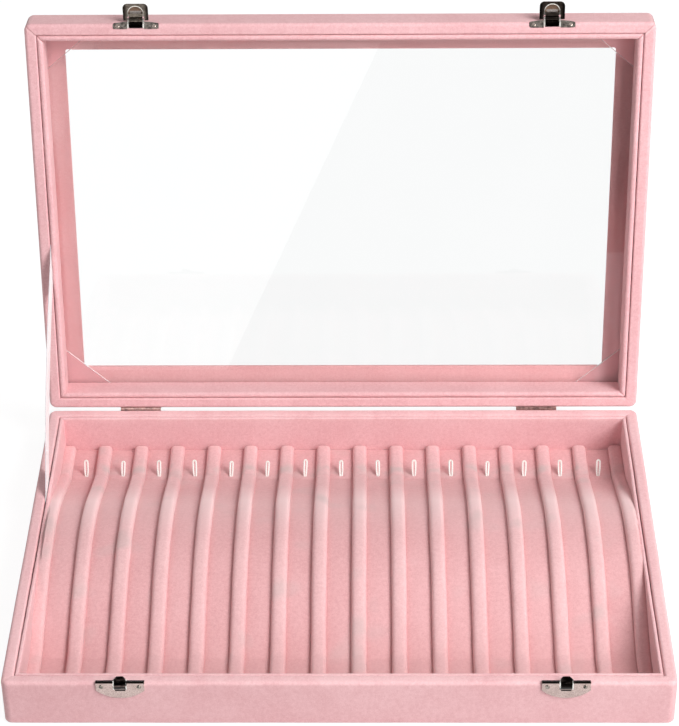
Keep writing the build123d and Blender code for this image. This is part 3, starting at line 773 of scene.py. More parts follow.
@dataclass(frozen=True)
class CatchFinish:
    """The catch plates' plating: pale and finely marked, with painted dark reflection on the tongue and
    painted glints along its edges.
    """

    name: str = "catch_plating"
    face: Colour = linear(214, 192, 186)
    mark: Colour = linear(160, 140, 133)
    # Painted dark reflection on the tongue and the lip.
    black: Colour = linear(26, 22, 20)
    # Painted glint along the tongue's edges.
    bright: Colour = linear(255, 252, 246)
    plate_front: float = -120.75 * MM
    proud_from: Ramp = Ramp(0.0, 0.1 * MM)
    root: Ramp = Ramp(23.0 * MM, 23.3 * MM)
    plate_top: Ramp = Ramp(30.0 * MM, 30.2 * MM)
    lip: Ramp = Ramp(29.28 * MM, 29.38 * MM)
    tongue_half: Ramp = Ramp(3.6 * MM, 3.75 * MM, 1.0, 0.0)
    tongue_edge: Ramp = Ramp(2.85 * MM, 3.25 * MM)
    edge_marks: Noise = Noise(480.0, 2)
    edge_glint_patches: Ramp = Ramp(0.4, 0.5, 0.15, 1.0)
    # How much less metallic the painted glints are, so that their colour shows.
    edge_plating: float = 0.8
    streak_stretch: Place = (0.3, 1.0, 1.6)
    streaks: Noise = Noise(620.0, 2, 0.6)
    streaking: Ramp = Ramp(0.52, 0.66, 0.0, 0.55)
    marks: Noise = Noise(1300.0, 3, 0.7)
    marking: Ramp = Ramp(0.45, 0.65, 0.0, 0.45)
    patches: Noise = Noise(260.0, 4, 0.6)
    patching: Ramp = Ramp(0.4, 0.7, 0.0, 0.4)
    gloss: Ramp = Ramp(0.3, 0.7, 0.14, 0.3)
    relief: Relief = Relief(0.15, 0.03 * MM)

    def tongue(self, g: Graph, place: Socket, across: Socket, height: Socket) -> Socket:
        """Where the tongue is: what stands proud of the plate or over its top, near either middle.

        Args:
            g: the tree to build in.
            place: the position.
            across: how far it is from the nearer middle.
            height: how high it is.

        Returns:
            A share from 0 to 1.
        """
        proud = g.math("SUBTRACT", self.plate_front, g.dot(place, DEEP))
        standing = g.math("MAXIMUM", g.ramp(proud, self.proud_from), g.ramp(height, self.plate_top))
        return g.times(g.ramp(across, self.tongue_half), standing, g.ramp(height, self.root))

    def build(self) -> bpy.types.Material:
        """Makes the plating.

        The tongue's painted dark reflection breaks up in thin level streaks, and painted glints lie close
        to its two edges. The lip over the tray's rim has painted dark reflection too.

        Returns:
            The material.
        """
        g = Graph.material(self.name)
        place = g.place()
        x, height = g.dot(place, ACROSS), g.dot(place, UP)
        across = g.math("MINIMUM", *[g.away(x, middle) for middle in LATCH_MIDDLES.values()])
        tongue = self.tongue(g, place, across, height)
        streaks = g.ramp(g.noise(g.stretched(place, self.streak_stretch), self.streaks), self.streaking)
        wear_and_shine = g.ramp(g.noise(place, self.edge_marks), self.edge_glint_patches)
        # Painted glints near the tongue's edges, broken into patches.
        lit = g.times(g.ramp(across, self.tongue_edge), wear_and_shine)
        dark = g.mix(lit, g.mix(streaks, self.black, self.mark), self.bright)
        marks = g.ramp(g.noise(place, self.marks), self.marking)
        patches = g.noise(place, self.patches)
        pale = g.mix(g.ramp(patches, self.patching), g.mix(marks, self.face, self.mark), self.mark)
        # Painted dark reflection on the lip.
        pale = g.mix(g.ramp(height, self.lip), pale, self.black)
        values = {
            "Base Color": g.mix(tongue, pale, dark),
            "Metallic": g.math("SUBTRACT", 1.0, g.times(tongue, lit, self.edge_plating)),
            "Roughness": g.ramp(patches, self.gloss),
            "Normal": g.bump(marks, self.relief),
        }
        return g.finish(g.surface(values))


@dataclass(frozen=True)
class GlassFinish:
    """Clear flat glass that lets light through to what lies behind it."""

    name: str = "clear_pane"
    tint: Colour = linear(254, 255, 255)
    smudged: Colour = linear(253, 254, 254)
    frosted: Colour = linear(250, 240, 239)
    smudges: Noise = Noise(14.0, 4, 0.6)
    smudging: Ramp = Ramp(0.45, 0.8)
    frosting: Ramp = Ramp(0.3, 0.7, 0.0, 0.6)

    def build(self) -> bpy.types.Material:
        """Makes the glass: smooth dielectric, clear to shadow and diffuse rays so that it darkens nothing.

        Where the attribute "ground" is 1, on the pane's rim, it is pale and frosted.

        Returns:
            The material.
        """
        g = Graph.material(self.name)
        smudge = g.ramp(g.noise(g.place(), self.smudges), self.smudging)
        values = {
            "Base Color": g.mix(smudge, self.tint, self.smudged),
            "Roughness": 0.0,
            "IOR": 1.46,
            "Transmission Weight": 1.0,
        }
        frosted = g.surface({"Base Color": (*self.frosted, 1), "Roughness": 0.45})
        whole = g.either(g.ramp(g.attribute("ground"), self.frosting), g.surface(values), frosted)
        path = g.node("ShaderNodeLightPath").outputs
        passing = g.math("MAXIMUM", path["Is Shadow Ray"], path["Is Diffuse Ray"])
        return g.finish(g.either(passing, whole, g.first("ShaderNodeBsdfTransparent")))


PlainFinish = ClothFinish | SatinFinish | CordFinish | HaspFinish | CatchFinish | GlassFinish


@dataclass
class Wardrobe:
    """All finishes, built once each and shared by the pieces."""

    lid_turn: float
    lid_shift: Place
    made: dict[object, bpy.types.Material] = field(default_factory=dict)

    def velvet(self, kind: Velvet) -> bpy.types.Material:
        """The velvet of one place, with the lid's pattern laid out as if the lid were shut.

        Args:
            kind: where the velvet lies.

        Returns:
            The material.
        """
        shut = {"turn": self.lid_turn, "shift": self.lid_shift}
        frame = {"deep": linear(232, 170, 172), "pale": linear(243, 190, 191), "under_pane": True}
        pad = {"deep": linear(217, 162, 164), "pale": linear(231, 182, 184)}
        roll = {"deep": linear(222, 173, 175), "pale": linear(236, 193, 194)}
        # Frame: painted light, reflection and shade under the pane. Pad and rolls: painted shade, light and
        # sheen. Tray boards: a rim band of abrasion and painted sheen.
        settings = {
            Velvet.TRAY: {"rim_wear_and_sheen": True},
            Velvet.LID: {**shut, "mitred": True},
            Velvet.FRAME: {**shut, **frame},
            Velvet.PAD: {**pad, "sheen_patch_share": 0.4, "front_shade_share": 0.6, "back_light": 0.3},
            Velvet.ROLL: {**roll, "sheen_patch_share": 0.75, "front_shade_share": 0.35, "back_light": 1.0},
        }
        if kind not in self.made:
            self.made[kind] = VelvetFinish(kind, **settings[kind]).build()
        return self.made[kind]

    def metal(self, kind: Metal) -> bpy.types.Material:
        """One of the plated finishes.

        Args:
            kind: which of them.

        Returns:
            The material.
        """
        cheek = {"lit_across": 4.3 * MM}
        colours = {
            Metal.NICKEL: (linear(204, 190, 181), linear(250, 246, 240), linear(158, 142, 132)),
            # Speckled: painted glints over painted dark reflection.
            Metal.SPECKLED: (linear(176, 166, 158), linear(252, 248, 242), linear(26, 22, 20)),
            # Near black: painted shade sheets.
            Metal.DARK_NICKEL: (linear(34, 30, 28), linear(120, 112, 104), linear(16, 13, 12)),
            Metal.BRONZE: (linear(208, 176, 168), linear(242, 226, 220), linear(78, 58, 52)),
        }
        settings = {
            Metal.NICKEL: {"roughness": 0.17, "tarnish_and_reflection_share": 0.5},
            Metal.SPECKLED: {"roughness": 0.18, "tarnish_and_reflection_share": 1.0, "fineness": 620.0, **cheek},
            Metal.DARK_NICKEL: {"roughness": 0.28, "tarnish_and_reflection_share": 0.8},
            Metal.BRONZE: {"roughness": 0.34, "tarnish_and_reflection_share": 0.8, "fineness": 420.0},
        }
        if kind not in self.made:
            self.made[kind] = MetalFinish(kind, *colours[kind], **settings[kind]).build()
        return self.made[kind]

    def other(self, finish: PlainFinish) -> bpy.types.Material:
        """A finish that has one recipe, kept under its name.

        Args:
            finish: the recipe.

        Returns:
            The material.
        """
        if finish.name not in self.made:
            self.made[finish.name] = finish.build()
        return self.made[finish.name]


def mesh_object(name: str, points: Array, faces: Faces, sharp: float = 40.0) -> Piece:
    """A smooth-shaded mesh object with edges above an angle kept sharp.

    Args:
        name: the piece's name.
        points: vertex positions, shape (count, 3).
        faces: vertex indices of each face.
        sharp: angle in degrees above which an edge stays sharp.

    Returns:
        The object, linked to the scene.
    """
    mesh = bpy.data.meshes.new(name)
    mesh.from_pydata(points.tolist(), [], faces)
    mesh.validate()
    mesh.polygons.foreach_set("use_smooth", np.ones(len(mesh.polygons), bool))
    mesh.set_sharp_from_angle(angle=math.radians(sharp))
    mesh.update()
    made = bpy.data.objects.new(name, mesh)
    bpy.context.scene.collection.objects.link(made)
    return made


def covered(piece: Piece, material: bpy.types.Material) -> None:
    """Turns every face of a closed mesh outwards and gives the mesh its material.

    Args:
        piece: the piece.
        material: what covers it.
    """
    work = bmesh.new()
    work.from_mesh(piece.data)
    bmesh.ops.recalc_face_normals(work, faces=work.faces[:])
    work.to_mesh(piece.data)
    work.free()
    piece.data.materials.append(material)


def assign(node: Piece, material: bpy.types.Material) -> None:
    """Puts one material in every slot of a carried-over node.

    Args:
        node: the node.
        material: what covers it.
    """
    if not node.data.materials:
        node.data.materials.append(material)
    for slot in node.material_slots:
        slot.material = material


def strip_uv(piece: Piece, across: Array, along: Array) -> None:
    """Writes a UV map named strip for a mesh whose vertices lie row by row.

    Args:
        piece: the piece.
        across: u of each column.
        along: v of each row.
    """
    mesh = piece.data
    uv = np.stack(np.broadcast_arrays(across[None], along[:, None]), -1).reshape(-1, 2)
    corners = np.zeros(len(mesh.loops), np.int32)
    mesh.loops.foreach_get("vertex_index", corners)
    layer = mesh.uv_layers.new(name="strip")
    layer.data.foreach_set("uv", uv[corners % len(uv)].astype(np.float32).ravel())


def point_values(piece: Piece, name: str, values: Array) -> None:
    """Stores one number for each vertex.

    Args:
        piece: the piece.
        name: the attribute's name.
        values: the numbers.
    """
    layer = piece.data.attributes.new(name, "FLOAT", "POINT")
    layer.data.foreach_set("value", values.astype(np.float32).ravel())


def moved(points: Array, matrix: Matrix) -> Array:
    """Points, in rows of three, carried by a matrix that turns and shifts."""
    return points.reshape(-1, 3) @ np.array(matrix.to_3x3()).T + np.array(matrix.translation)


def unit(vectors: Array) -> Array:
    """Vectors divided by their lengths."""
    return vectors / np.linalg.norm(vectors, axis=-1, keepdims=True)


def sideways(line: Array) -> Array:
    """Unit vectors at a right angle to a sampled line, to the left of its way."""
    tangent = unit(np.gradient(line, axis=0))
    return np.stack([-tangent[:, 1], tangent[:, 0]], axis=1)


def travelled(line: Array) -> Array:
    """How far along a sampled line each of its points lies."""
    return np.concatenate([[0], np.cumsum(np.linalg.norm(np.diff(line, axis=0), axis=1))])


def grid_faces(rows: int, columns: int, closed: bool, first: int = 0) -> Faces:
    """Quads of a grid of vertices laid out row by row.

    Args:
        rows: number of rows.
        columns: number of columns.
        closed: whether the last column joins the first.
        first: index of the first vertex.

    Returns:
        Faces as lists of four vertex indices.
    """
    index = np.arange(rows * columns).reshape(rows, columns) + first
    right = np.roll(index, -1, axis=1) if closed else index[:, 1:]
    left = index if closed else index[:, :-1]
    quads = np.stack([left[:-1], right[:-1], right[1:], left[1:]], axis=-1)
    return quads.reshape(-1, 4).tolist()


def tubes(runs: list[Array]) -> tuple[Array, Faces]:
    """Tubes that are closed around, with a flat cap at each end, as one mesh.

    Args:
        runs: the rings of each tube, shape (rings, around, 3).

    Returns:
        The points of all tubes, and their side quads and caps.
    """
    points, faces, first = [], [], 0
    for rings in runs:
        count, around = rings.shape[:2]
        last = first + (count - 1) * around
        faces += grid_faces(count, around, True, first)
        faces += [list(range(first, first + around))[::-1], list(range(last, last + around))]
        points.append(rings.reshape(-1, 3))
        first = last + around
    return np.concatenate(points), faces


def rounded_line(corners: Array, radii: Array, step: float) -> Array:
    """A polyline with rounded corners, sampled evenly.

    Each corner is replaced by a circular arc that touches both runs, at a distance of
    radius * tan(half the turn) from the corner; the whole is then resampled by its length.

    Args:
        corners: points of the polyline, shape (count, 2).
        radii: one radius for each inner corner.
        step: distance between samples.

    Returns:
        Sampled points, shape (samples, 2).
    """
    pieces = [corners[:1]]
    for before, corner, after, radius in zip(corners, corners[1:], corners[2:], radii):
        inward, outward = unit(corner - before), unit(after - corner)
        turn = math.atan2(inward[0] * outward[1] - inward[1] * outward[0], float(inward @ outward))
        reach = radius * math.tan(abs(turn) / 2)
        side = math.copysign(1.0, turn)
        centre = corner - inward * reach + radius * side * np.array([-inward[1], inward[0]])
        spokes = np.linspace(0, turn, ARC_POINTS)[:, None]
        start = (corner - inward * reach - centre)[None, :]
        quarter = np.stack([-start[:, 1], start[:, 0]], axis=1)
        pieces.append(centre + np.cos(spokes) * start + np.sin(spokes) * quarter)
    line = np.concatenate([*pieces, corners[-1:]])
    gone = travelled(line)
    count = max(2, int(round(gone[-1] / step)) + 1)
    even = np.linspace(0, gone[-1], count)
    return np.stack([np.interp(even, gone, line[:, k]) for k in range(2)], axis=1)


def upward(line: Array) -> Array:
    """Unit normals of a sampled (y, z) line, on the side where they point up."""
    normal = sideways(line)
    return normal * np.sign(normal[:, 1:2])


def waviness(x: Array, y: Array, wavelength: float, seed: int) -> Array:
    """Smooth unevenness: the mean of six sine waves in seeded directions, lengths and phases.

    Args:
        x: places across.
        y: places along, of a shape that goes with x.
        wavelength: the waves' usual length.
        seed: what their directions, lengths and phases are drawn from.

    Returns:
        Heights between -1 and 1.
    """
    chooser = np.random.default_rng(seed)
    count, shortest, longest = 6, 0.6, 1.7
    total = np.zeros(np.broadcast(x, y).shape)
    for _ in range(count):
        heading = chooser.uniform(0, math.tau)
        length = wavelength * chooser.uniform(shortest, longest)
        phase = chooser.uniform(0, math.tau)
        total = total + np.sin(math.tau * (x * math.cos(heading) + y * math.sin(heading)) / length + phase)
    return total / count


@dataclass
class NecklacePad:
    """The humped pad and its 16 rolls. Sizes repeat those of the construction, in metres."""

    wardrobe: Wardrobe
    front_ledge: float = 35.4 * MM
    back_ledge: float = 30.6 * MM
    hump_rise: float = 29.12 * MM
    ridge_share: float = 0.573
    ledge_rise: float = 2.7 * MM
    fold_radius: float = 4.0 * MM
    pad_step: float = 1.3 * MM
    seam_offsets_mm: tuple[float, ...] = (0.0, 3.4, 3.9, 4.2, 4.6, 5.2, 6.4, 8.4, 10.6)
    edge_insets_mm: tuple[float, ...] = (0.0, 0.15, 0.45, 1.0, 2.0)
    crease: float = 0.15 * MM
    crease_reach: float = 0.5 * MM
    pillow: float = 0.3 * MM
    sag: float = 0.7 * MM
    sag_reach: float = 3.0 * MM
    tuck: float = 0.6 * MM
    tuck_reach: float = 0.7 * MM
    wave: float = 0.18 * MM
    wave_length: float = 34.0 * MM
    wave_seed: int = 5

    roll_count: int = 16
    roll_width: float = 8.2 * MM
    roll_height: float = 3.7 * MM
    roll_margin: float = 6.25 * MM
    roll_shift: float = -0.6 * MM
    roll_square: float = 3.0
    roll_fold_radius: float = 9.0 * MM
    roll_step: float = 1.6 * MM
    roll_short: float = 0.25 * MM
    roll_points: int = 19
    roll_end: float = 1.6 * MM
    roll_end_share: float = 0.02
    end_height_share: float = 0.35
    end_width_share: float = 0.75
    buried_shares: tuple[float, float] = (0.92, 0.5)
    buried_mm: tuple[float, float, float] = (0.5, 0.8, 0.9)
    sway: float = 0.35 * MM
    sway_length: float = 90.0 * MM
    sway_seed: int = 11
    swell_share: float = 0.04
    swell_length: float = 40.0 * MM
    swell_seed: int = 23
    lid_liner_x: float = 164.7 * MM
    lid_liner_below_rim: float = 0.5 * MM

    def __post_init__(self) -> None:
        """Takes the pad's box from the frame and works out the rolls' centres."""
        low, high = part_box("necklace_pad")
        self.half_width = float(high.x)
        self.half_depth = float(high.y)
        self.foot = float(low.z)
        self.ledge = self.foot + self.ledge_rise
        self.pitch = (2 * self.half_width - self.roll_margin) / (self.roll_count - 1)
        numbers = np.arange(self.roll_count) - (self.roll_count - 1) / 2
        self.centres = numbers * self.pitch + self.roll_shift

    def profile(self, radius: float, step: float, short: float = 0.0) -> Array:
        """The pad's line from back to front: two ledges with a straight-sided hump, its ridge rounded too.

        Args:
            radius: of its two folds.
            step: distance between samples.
            short: how far it ends before the pad's edge.

        Returns:
            Points (y, z).
        """
        back = self.half_depth - self.back_ledge
        front = self.front_ledge - self.half_depth
        middle, half = (back + front) / 2, (back - front) / 2
        ridge = self.ridge_share * half**2 / self.hump_rise
        end = self.half_depth - short
        places = np.array([end, back, middle, front, -end])
        corners = np.stack([places, self.ledge + self.hump_rise * (places == middle)], axis=1)
        return rounded_line(corners, np.array([radius, ridge, radius]), step)

    def columns(self) -> Array:
        """Where the surface has points across: closer together beside each roll and at the pad's sides.

        Returns:
            Places in x, from left to right.
        """
        offsets = np.array(self.seam_offsets_mm) * MM
        offsets = np.concatenate([-offsets[:0:-1], offsets])
        edge = self.half_width - np.array(self.edge_insets_mm) * MM
        places = np.concatenate([(self.centres[:, None] + offsets[None, :]).ravel(), edge, -edge])
        return np.unique(np.round(places[np.abs(places) <= self.half_width], 7))

    def lift(self, columns: Array, depth: Array) -> Array:
        """How far the surface stands off its profile.

        Between two rolls it is the pillow times the sine of a quarter turn, less the crease times a
        bell curve at the roll's foot. Soft waves are added. Towards the pad's edges the tuck and,
        between the rolls' ends, the sag are taken off, each falling away exponentially.

        Args:
            columns: places in x.
            depth: places in y, shape (rows, 1).

        Returns:
            Heights, shape (rows, columns).
        """
        off = np.abs(columns[:, None] - self.centres[None, :]).min(axis=1) - self.roll_width / 2
        arch = np.sin(np.clip(off / (self.pitch / 2 - self.roll_width / 2), 0, 1) * math.pi / 2)
        rise = self.pillow * arch - self.crease * np.exp(-((off / self.crease_reach) ** 2))
        waves = self.wave * waviness(columns[None, :], depth, self.wave_length, self.wave_seed)
        gap_x = self.half_width - np.abs(columns)[None, :]
        gap_y = self.half_depth - np.abs(depth)
        tucked = np.clip(np.exp(-gap_x / self.tuck_reach) + np.exp(-gap_y / self.tuck_reach), 0, 1)
        return rise + waves - self.tuck * tucked - self.sag * arch * np.exp(-gap_y / self.sag_reach)

    def surface(self) -> Piece:
        """The channelled surface: the profile carried across and lifted, with sides and an underside.

        Returns:
            The pad.
        """
        line = self.profile(self.fold_radius, self.pad_step)
        normal = upward(line)
        columns = self.columns()
        lift = self.lift(columns, line[:, :1])
        y = np.clip(line[:, :1] + normal[:, :1] * lift, -self.half_depth, self.half_depth)
        z = line[:, 1:] + normal[:, 1:] * lift
        rows, count = y.shape
        points = np.stack([np.broadcast_to(columns, y.shape), y, z], axis=-1).reshape(-1, 3)
        index = np.arange(rows * count).reshape(rows, count)
        border = np.concatenate([index[0, :-1], index[:-1, -1], index[-1, :0:-1], index[:0:-1, 0]])
        skirt = points[border] * [1, 1, 0] + [0, 0, self.foot]
        lower = np.arange(len(border)) + len(points)
        sides = np.stack([lower, np.roll(lower, -1), np.roll(border, -1), border], axis=1)
        top = [face[::-1] for face in grid_faces(rows, count, False)]
        faces = top + sides.tolist() + [lower.tolist()]
        made = mesh_object("velvet_pad", np.concatenate([points, skirt]), faces)
        covered(made, self.wardrobe.velvet(Velvet.PAD))
        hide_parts("necklace_pad")
        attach(made, Body.TRAY.value)
        return made

    def roll_section(self) -> Array:
        """A roll's section: |a / half|^n + |b / height|^n = 1 over the pad, narrower below it.

        Returns:
            Points (a, b), from the right over the top and back below.
        """
        half, power = self.roll_width / 2, 2 / self.roll_square
        turn = np.linspace(0, math.pi, self.roll_points)
        wide = half * np.sign(np.cos(turn)) * np.abs(np.cos(turn)) ** power
        over = np.stack([wide, self.roll_height * np.sin(turn) ** power], axis=1)
        under = np.stack([[*self.buried_shares, 0.0], self.buried_mm], axis=1) * [-half, -MM]
        return np.concatenate([over, under, under[:2][::-1] * [-1, 1]])

    def rolls(self) -> Piece:
        """The covered rolls: a squared half-round carried along the profile, tucked in at its foot.

        Each sways and swells a little in soft waves. Its ends shrink over the last millimetres along
        a quarter circle.

        Returns:
            All rolls as one piece.
        """
        line = self.profile(self.roll_fold_radius, self.roll_step, self.roll_short)
        normal = upward(line)
        gone = travelled(line)
        nearing = np.clip(np.minimum(gone, gone[-1] - gone) / self.roll_end, 0, 1)
        shrink = np.sqrt(np.clip(1 - (1 - nearing) ** 2, self.roll_end_share, 1))[:, None]
        section = self.roll_section()
        low, narrow = self.end_height_share, self.end_width_share
        high = section[None, :, 1] * (low + (1 - low) * shrink)
        wide = section[None, :, 0] * (narrow + (1 - narrow) * shrink)
        y = np.clip(line[:, :1] + normal[:, :1] * high, -self.half_depth, self.half_depth)
        z = line[:, 1:] + normal[:, 1:] * high
        runs = []
        for number, centre in enumerate(self.centres):
            place = np.full(len(line), centre)
            sway = self.sway * waviness(place, line[:, 0], self.sway_length, self.sway_seed)
            waves = waviness(place, line[:, 0], self.swell_length, self.swell_seed + number)
            swell = 1 + self.swell_share * waves[:, None]
            x = centre + sway[:, None] + wide * swell
            runs.append(np.stack([self.squeezed(x, high + line[:, 1:]), y, z], axis=-1))
        made = mesh_object("velvet_rolls", *tubes(runs))
        covered(made, self.wardrobe.velvet(Velvet.ROLL))
        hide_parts("pad_rolls")
        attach(made, Body.TRAY.value)
        return made

    def squeezed(self, x: Array, z: Array) -> Array:
        """Keeps the outer rolls off the tray's liners, and off the shut lid's liners where they come down.

        Args:
            x: places across.
            z: heights.

        Returns:
            Places across within the limit at each height.
        """
        rim = float(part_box("tray_left_wall")[1].z)
        limit = np.where(z > rim - self.lid_liner_below_rim, self.lid_liner_x, self.half_width)
        return np.clip(x, -limit, limit)


@dataclass
class ElasticLoops:
    """The 15 elastic loops, one between each two rolls, at the hump's back foot."""

    wardrobe: Wardrobe
    pad: NecklacePad
    radius: float = 0.5 * MM
    spacing: float = 1.7 * MM
    spacing_shares: tuple[float, float] = (0.88, 1.12)
    leg_mm: float = 8.0
    leg_stray_mm: float = 0.4
    tall_leg_mm: float = 8.8
    tall_number: int = 6
    buried: float = 1.2 * MM
    foot_share: float = 0.5
    crown_share: float = 1.25
    lean_degrees: float = 50.0
    lean_stray_degrees: float = 7.0
    tall_lean_degrees: float = 64.0
    tilt_degrees: float = 3.0
    curve: float = 10.0
    curve_shares: tuple[float, float] = (0.2, 1.0)
    foot_y: float = 84.2 * MM
    stray_left_mm: tuple[float, ...] = (1.8, 1.6, 1.2, 0.7, 0.2, -0.3, 0.3, -0.2)
    stray_right_mm: tuple[float, ...] = (-0.2, -0.7, -0.7, -1.2, -1.2, -1.8, -1.2)
    seed: int = 41
    leg_points: int = 16
    crown_points: int = 15
    ring_points: int = 10

    def hairpin(self, half: float, leg: float, tilt: float) -> Array:
        """A loop's line in its own plane: a leg up, a half circle and a leg down, tilted to one side.

        The legs draw together towards their feet, as a square root of the way up.

        Args:
            half: half the distance between the legs.
            leg: height of the legs.
            tilt: angle to one side.

        Returns:
            Points (across, up).
        """
        climb = np.linspace(-self.buried, leg, self.leg_points, endpoint=False)
        draw = self.foot_share + (1 - self.foot_share) * np.sqrt(np.clip(climb / leg * 2, 0, 1))
        bend = np.linspace(math.pi, 0, self.crown_points)
        left = np.stack([-half * draw, climb], axis=1)
        crown = np.stack([half * np.cos(bend), leg + half * self.crown_share * np.sin(bend)], axis=1)
        turn = np.array([[math.cos(tilt), -math.sin(tilt)], [math.sin(tilt), math.cos(tilt)]])
        return np.concatenate([left, crown, left[::-1] * [-1, 1]]) @ turn

    def cord(self, path: Array, facing: Array, ring: Array) -> Array:
        """A round cord carried along a path.

        Args:
            path: its middle line.
            facing: what the loop's flat side faces.
            ring: angles around the cord.

        Returns:
            Rings, shape (path, ring, 3).
        """
        tangent = unit(np.gradient(path, axis=0))
        side = unit(np.cross(tangent, facing))
        up = np.cross(side, tangent)
        spokes = np.cos(ring)[None, :, None] * side[:, None] + np.sin(ring)[None, :, None] * up[:, None]
        return path[:, None] + self.radius * spokes

    def build(self) -> Piece:
        """Lays each hairpin into a plane that leans back, bent a little more the higher it is.

        Returns:
            All loops as one piece.
        """
        chooser = np.random.default_rng(self.seed)
        ring = np.linspace(0, math.tau, self.ring_points, endpoint=False)
        centres, stray = self.pad.centres, np.array(self.stray_left_mm + self.stray_right_mm) * MM
        between = (centres[1:] + centres[:-1]) / 2 + stray
        runs = []
        for number, x in enumerate(between):
            leg, lean = self.tall_leg_mm * MM, math.radians(self.tall_lean_degrees)
            if number != self.tall_number:
                leg = (self.leg_mm + self.leg_stray_mm * chooser.uniform(-1, 1)) * MM
                lean = math.radians(self.lean_degrees + self.lean_stray_degrees * chooser.uniform(-1, 1))
            tilt = math.radians(self.tilt_degrees * chooser.uniform(-1, 1))
            half = self.spacing / 2 * chooser.uniform(*self.spacing_shares)
            across, up = self.hairpin(half, leg, tilt).T
            back = up**2 * self.curve * chooser.uniform(*self.curve_shares)
            y = self.foot_y + up * math.cos(lean) + back * math.sin(lean)
            z = self.pad.ledge + up * math.sin(lean) - back * math.cos(lean)
            facing = np.array([0, -math.sin(lean), math.cos(lean)])
            runs.append(self.cord(np.stack([x + across, y, z], axis=1), facing, ring))
        made = mesh_object("elastic_loops", *tubes(runs))
        strip_uv(made, ring / math.tau, np.linspace(0, 1, len(runs[0])))
        covered(made, self.wardrobe.other(CordFinish()))
        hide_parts("necklace_loops")
        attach(made, Body.TRAY.value)
        return made


def board_section(near: float, far: float, low: float, high: float, radii: tuple[float, ...]) -> Array:
    """The closed section of a covered board: a box whose four edges are quarter circles.

    Args:
        near: offset of the outer face from the case's side.
        far: offset of the inner face.
        low: height of the foot.
        high: height of the rim.
        radii: of the outer foot, outer rim, inner rim and inner foot.

    Returns:
        Points (offset, height), at most 3 mm apart.
    """
    corners = np.array([(near, low), (near, high), (far, high), (far, low)])
    turn = np.linspace(0, math.pi / 2, CORNER_POINTS)[:, None]
    arcs = []
    for k, radius in enumerate(radii):
        back, on = unit(np.stack([corners[k - 1], corners[(k + 1) % 4]]) - corners[k])
        arcs.append(corners[k] + radius * (back + on) - radius * (on * np.cos(turn) + back * np.sin(turn)))
    pieces = []
    for arc, following in zip(arcs, arcs[1:] + arcs[:1]):
        run = following[0] - arc[-1]
        shares = np.linspace(0, 1, int(np.linalg.norm(run) / LONGEST_RUN) + 2)[1:-1, None]
        pieces += [arc, arc[-1] + shares * run]
    return np.concatenate(pieces)


def carried(section: Array, half: tuple[float, float], corner: float, bow: tuple[float, float]) -> Array:
    """A section carried around a rounded rectangle.

    The point at offset o follows the rectangle of half sizes half - o, whose corners are quarter
    circles of radius corner - o or 0.4 mm, whichever is more. The sides bow inwards by bow times
    the cosine of the way along them. Points stand closer together near the corners.

    Args:
        section: points (offset, height).
        half: half sizes of the case in X and Y.
        corner: the case's corner radius.
        bow: how far the left and right sides, and the front and back, bow in.

    Returns:
        Points, shape (around, section, 3).
    """
    offset, height = section.T
    radius = np.maximum(corner - offset, LEAST_CORNER)
    reach = np.stack([half[0] - offset - radius, half[1] - offset - radius], axis=-1)
    quarter = np.linspace(0, math.pi / 2, CORNER_POINTS)
    arcs = []
    for k, signs in enumerate(((1, 1), (-1, 1), (-1, -1), (1, -1))):
        spoke = np.stack([np.cos(quarter + k * math.pi / 2), np.sin(quarter + k * math.pi / 2)], axis=-1)
        arcs.append(reach[None] * signs + radius[None, :, None] * spoke[:, None])
    shares = (0.5 - 0.5 * np.cos(np.linspace(0, math.pi, SIDE_POINTS)[1:-1]))[:, None, None]
    rings = []
    for arc, following in zip(arcs, arcs[1:] + arcs[:1]):
        rings += [arc, arc[-1] + shares * (following[0] - arc[-1])]
    plan = np.concatenate(rings)
    way = np.cos(np.clip(plan / half, -1, 1) * math.pi / 2)[..., ::-1]
    plan = plan - np.sign(plan) * way * bow
    return np.concatenate([plan, np.broadcast_to(height[None, :, None], (*plan.shape[:2], 1))], axis=-1)


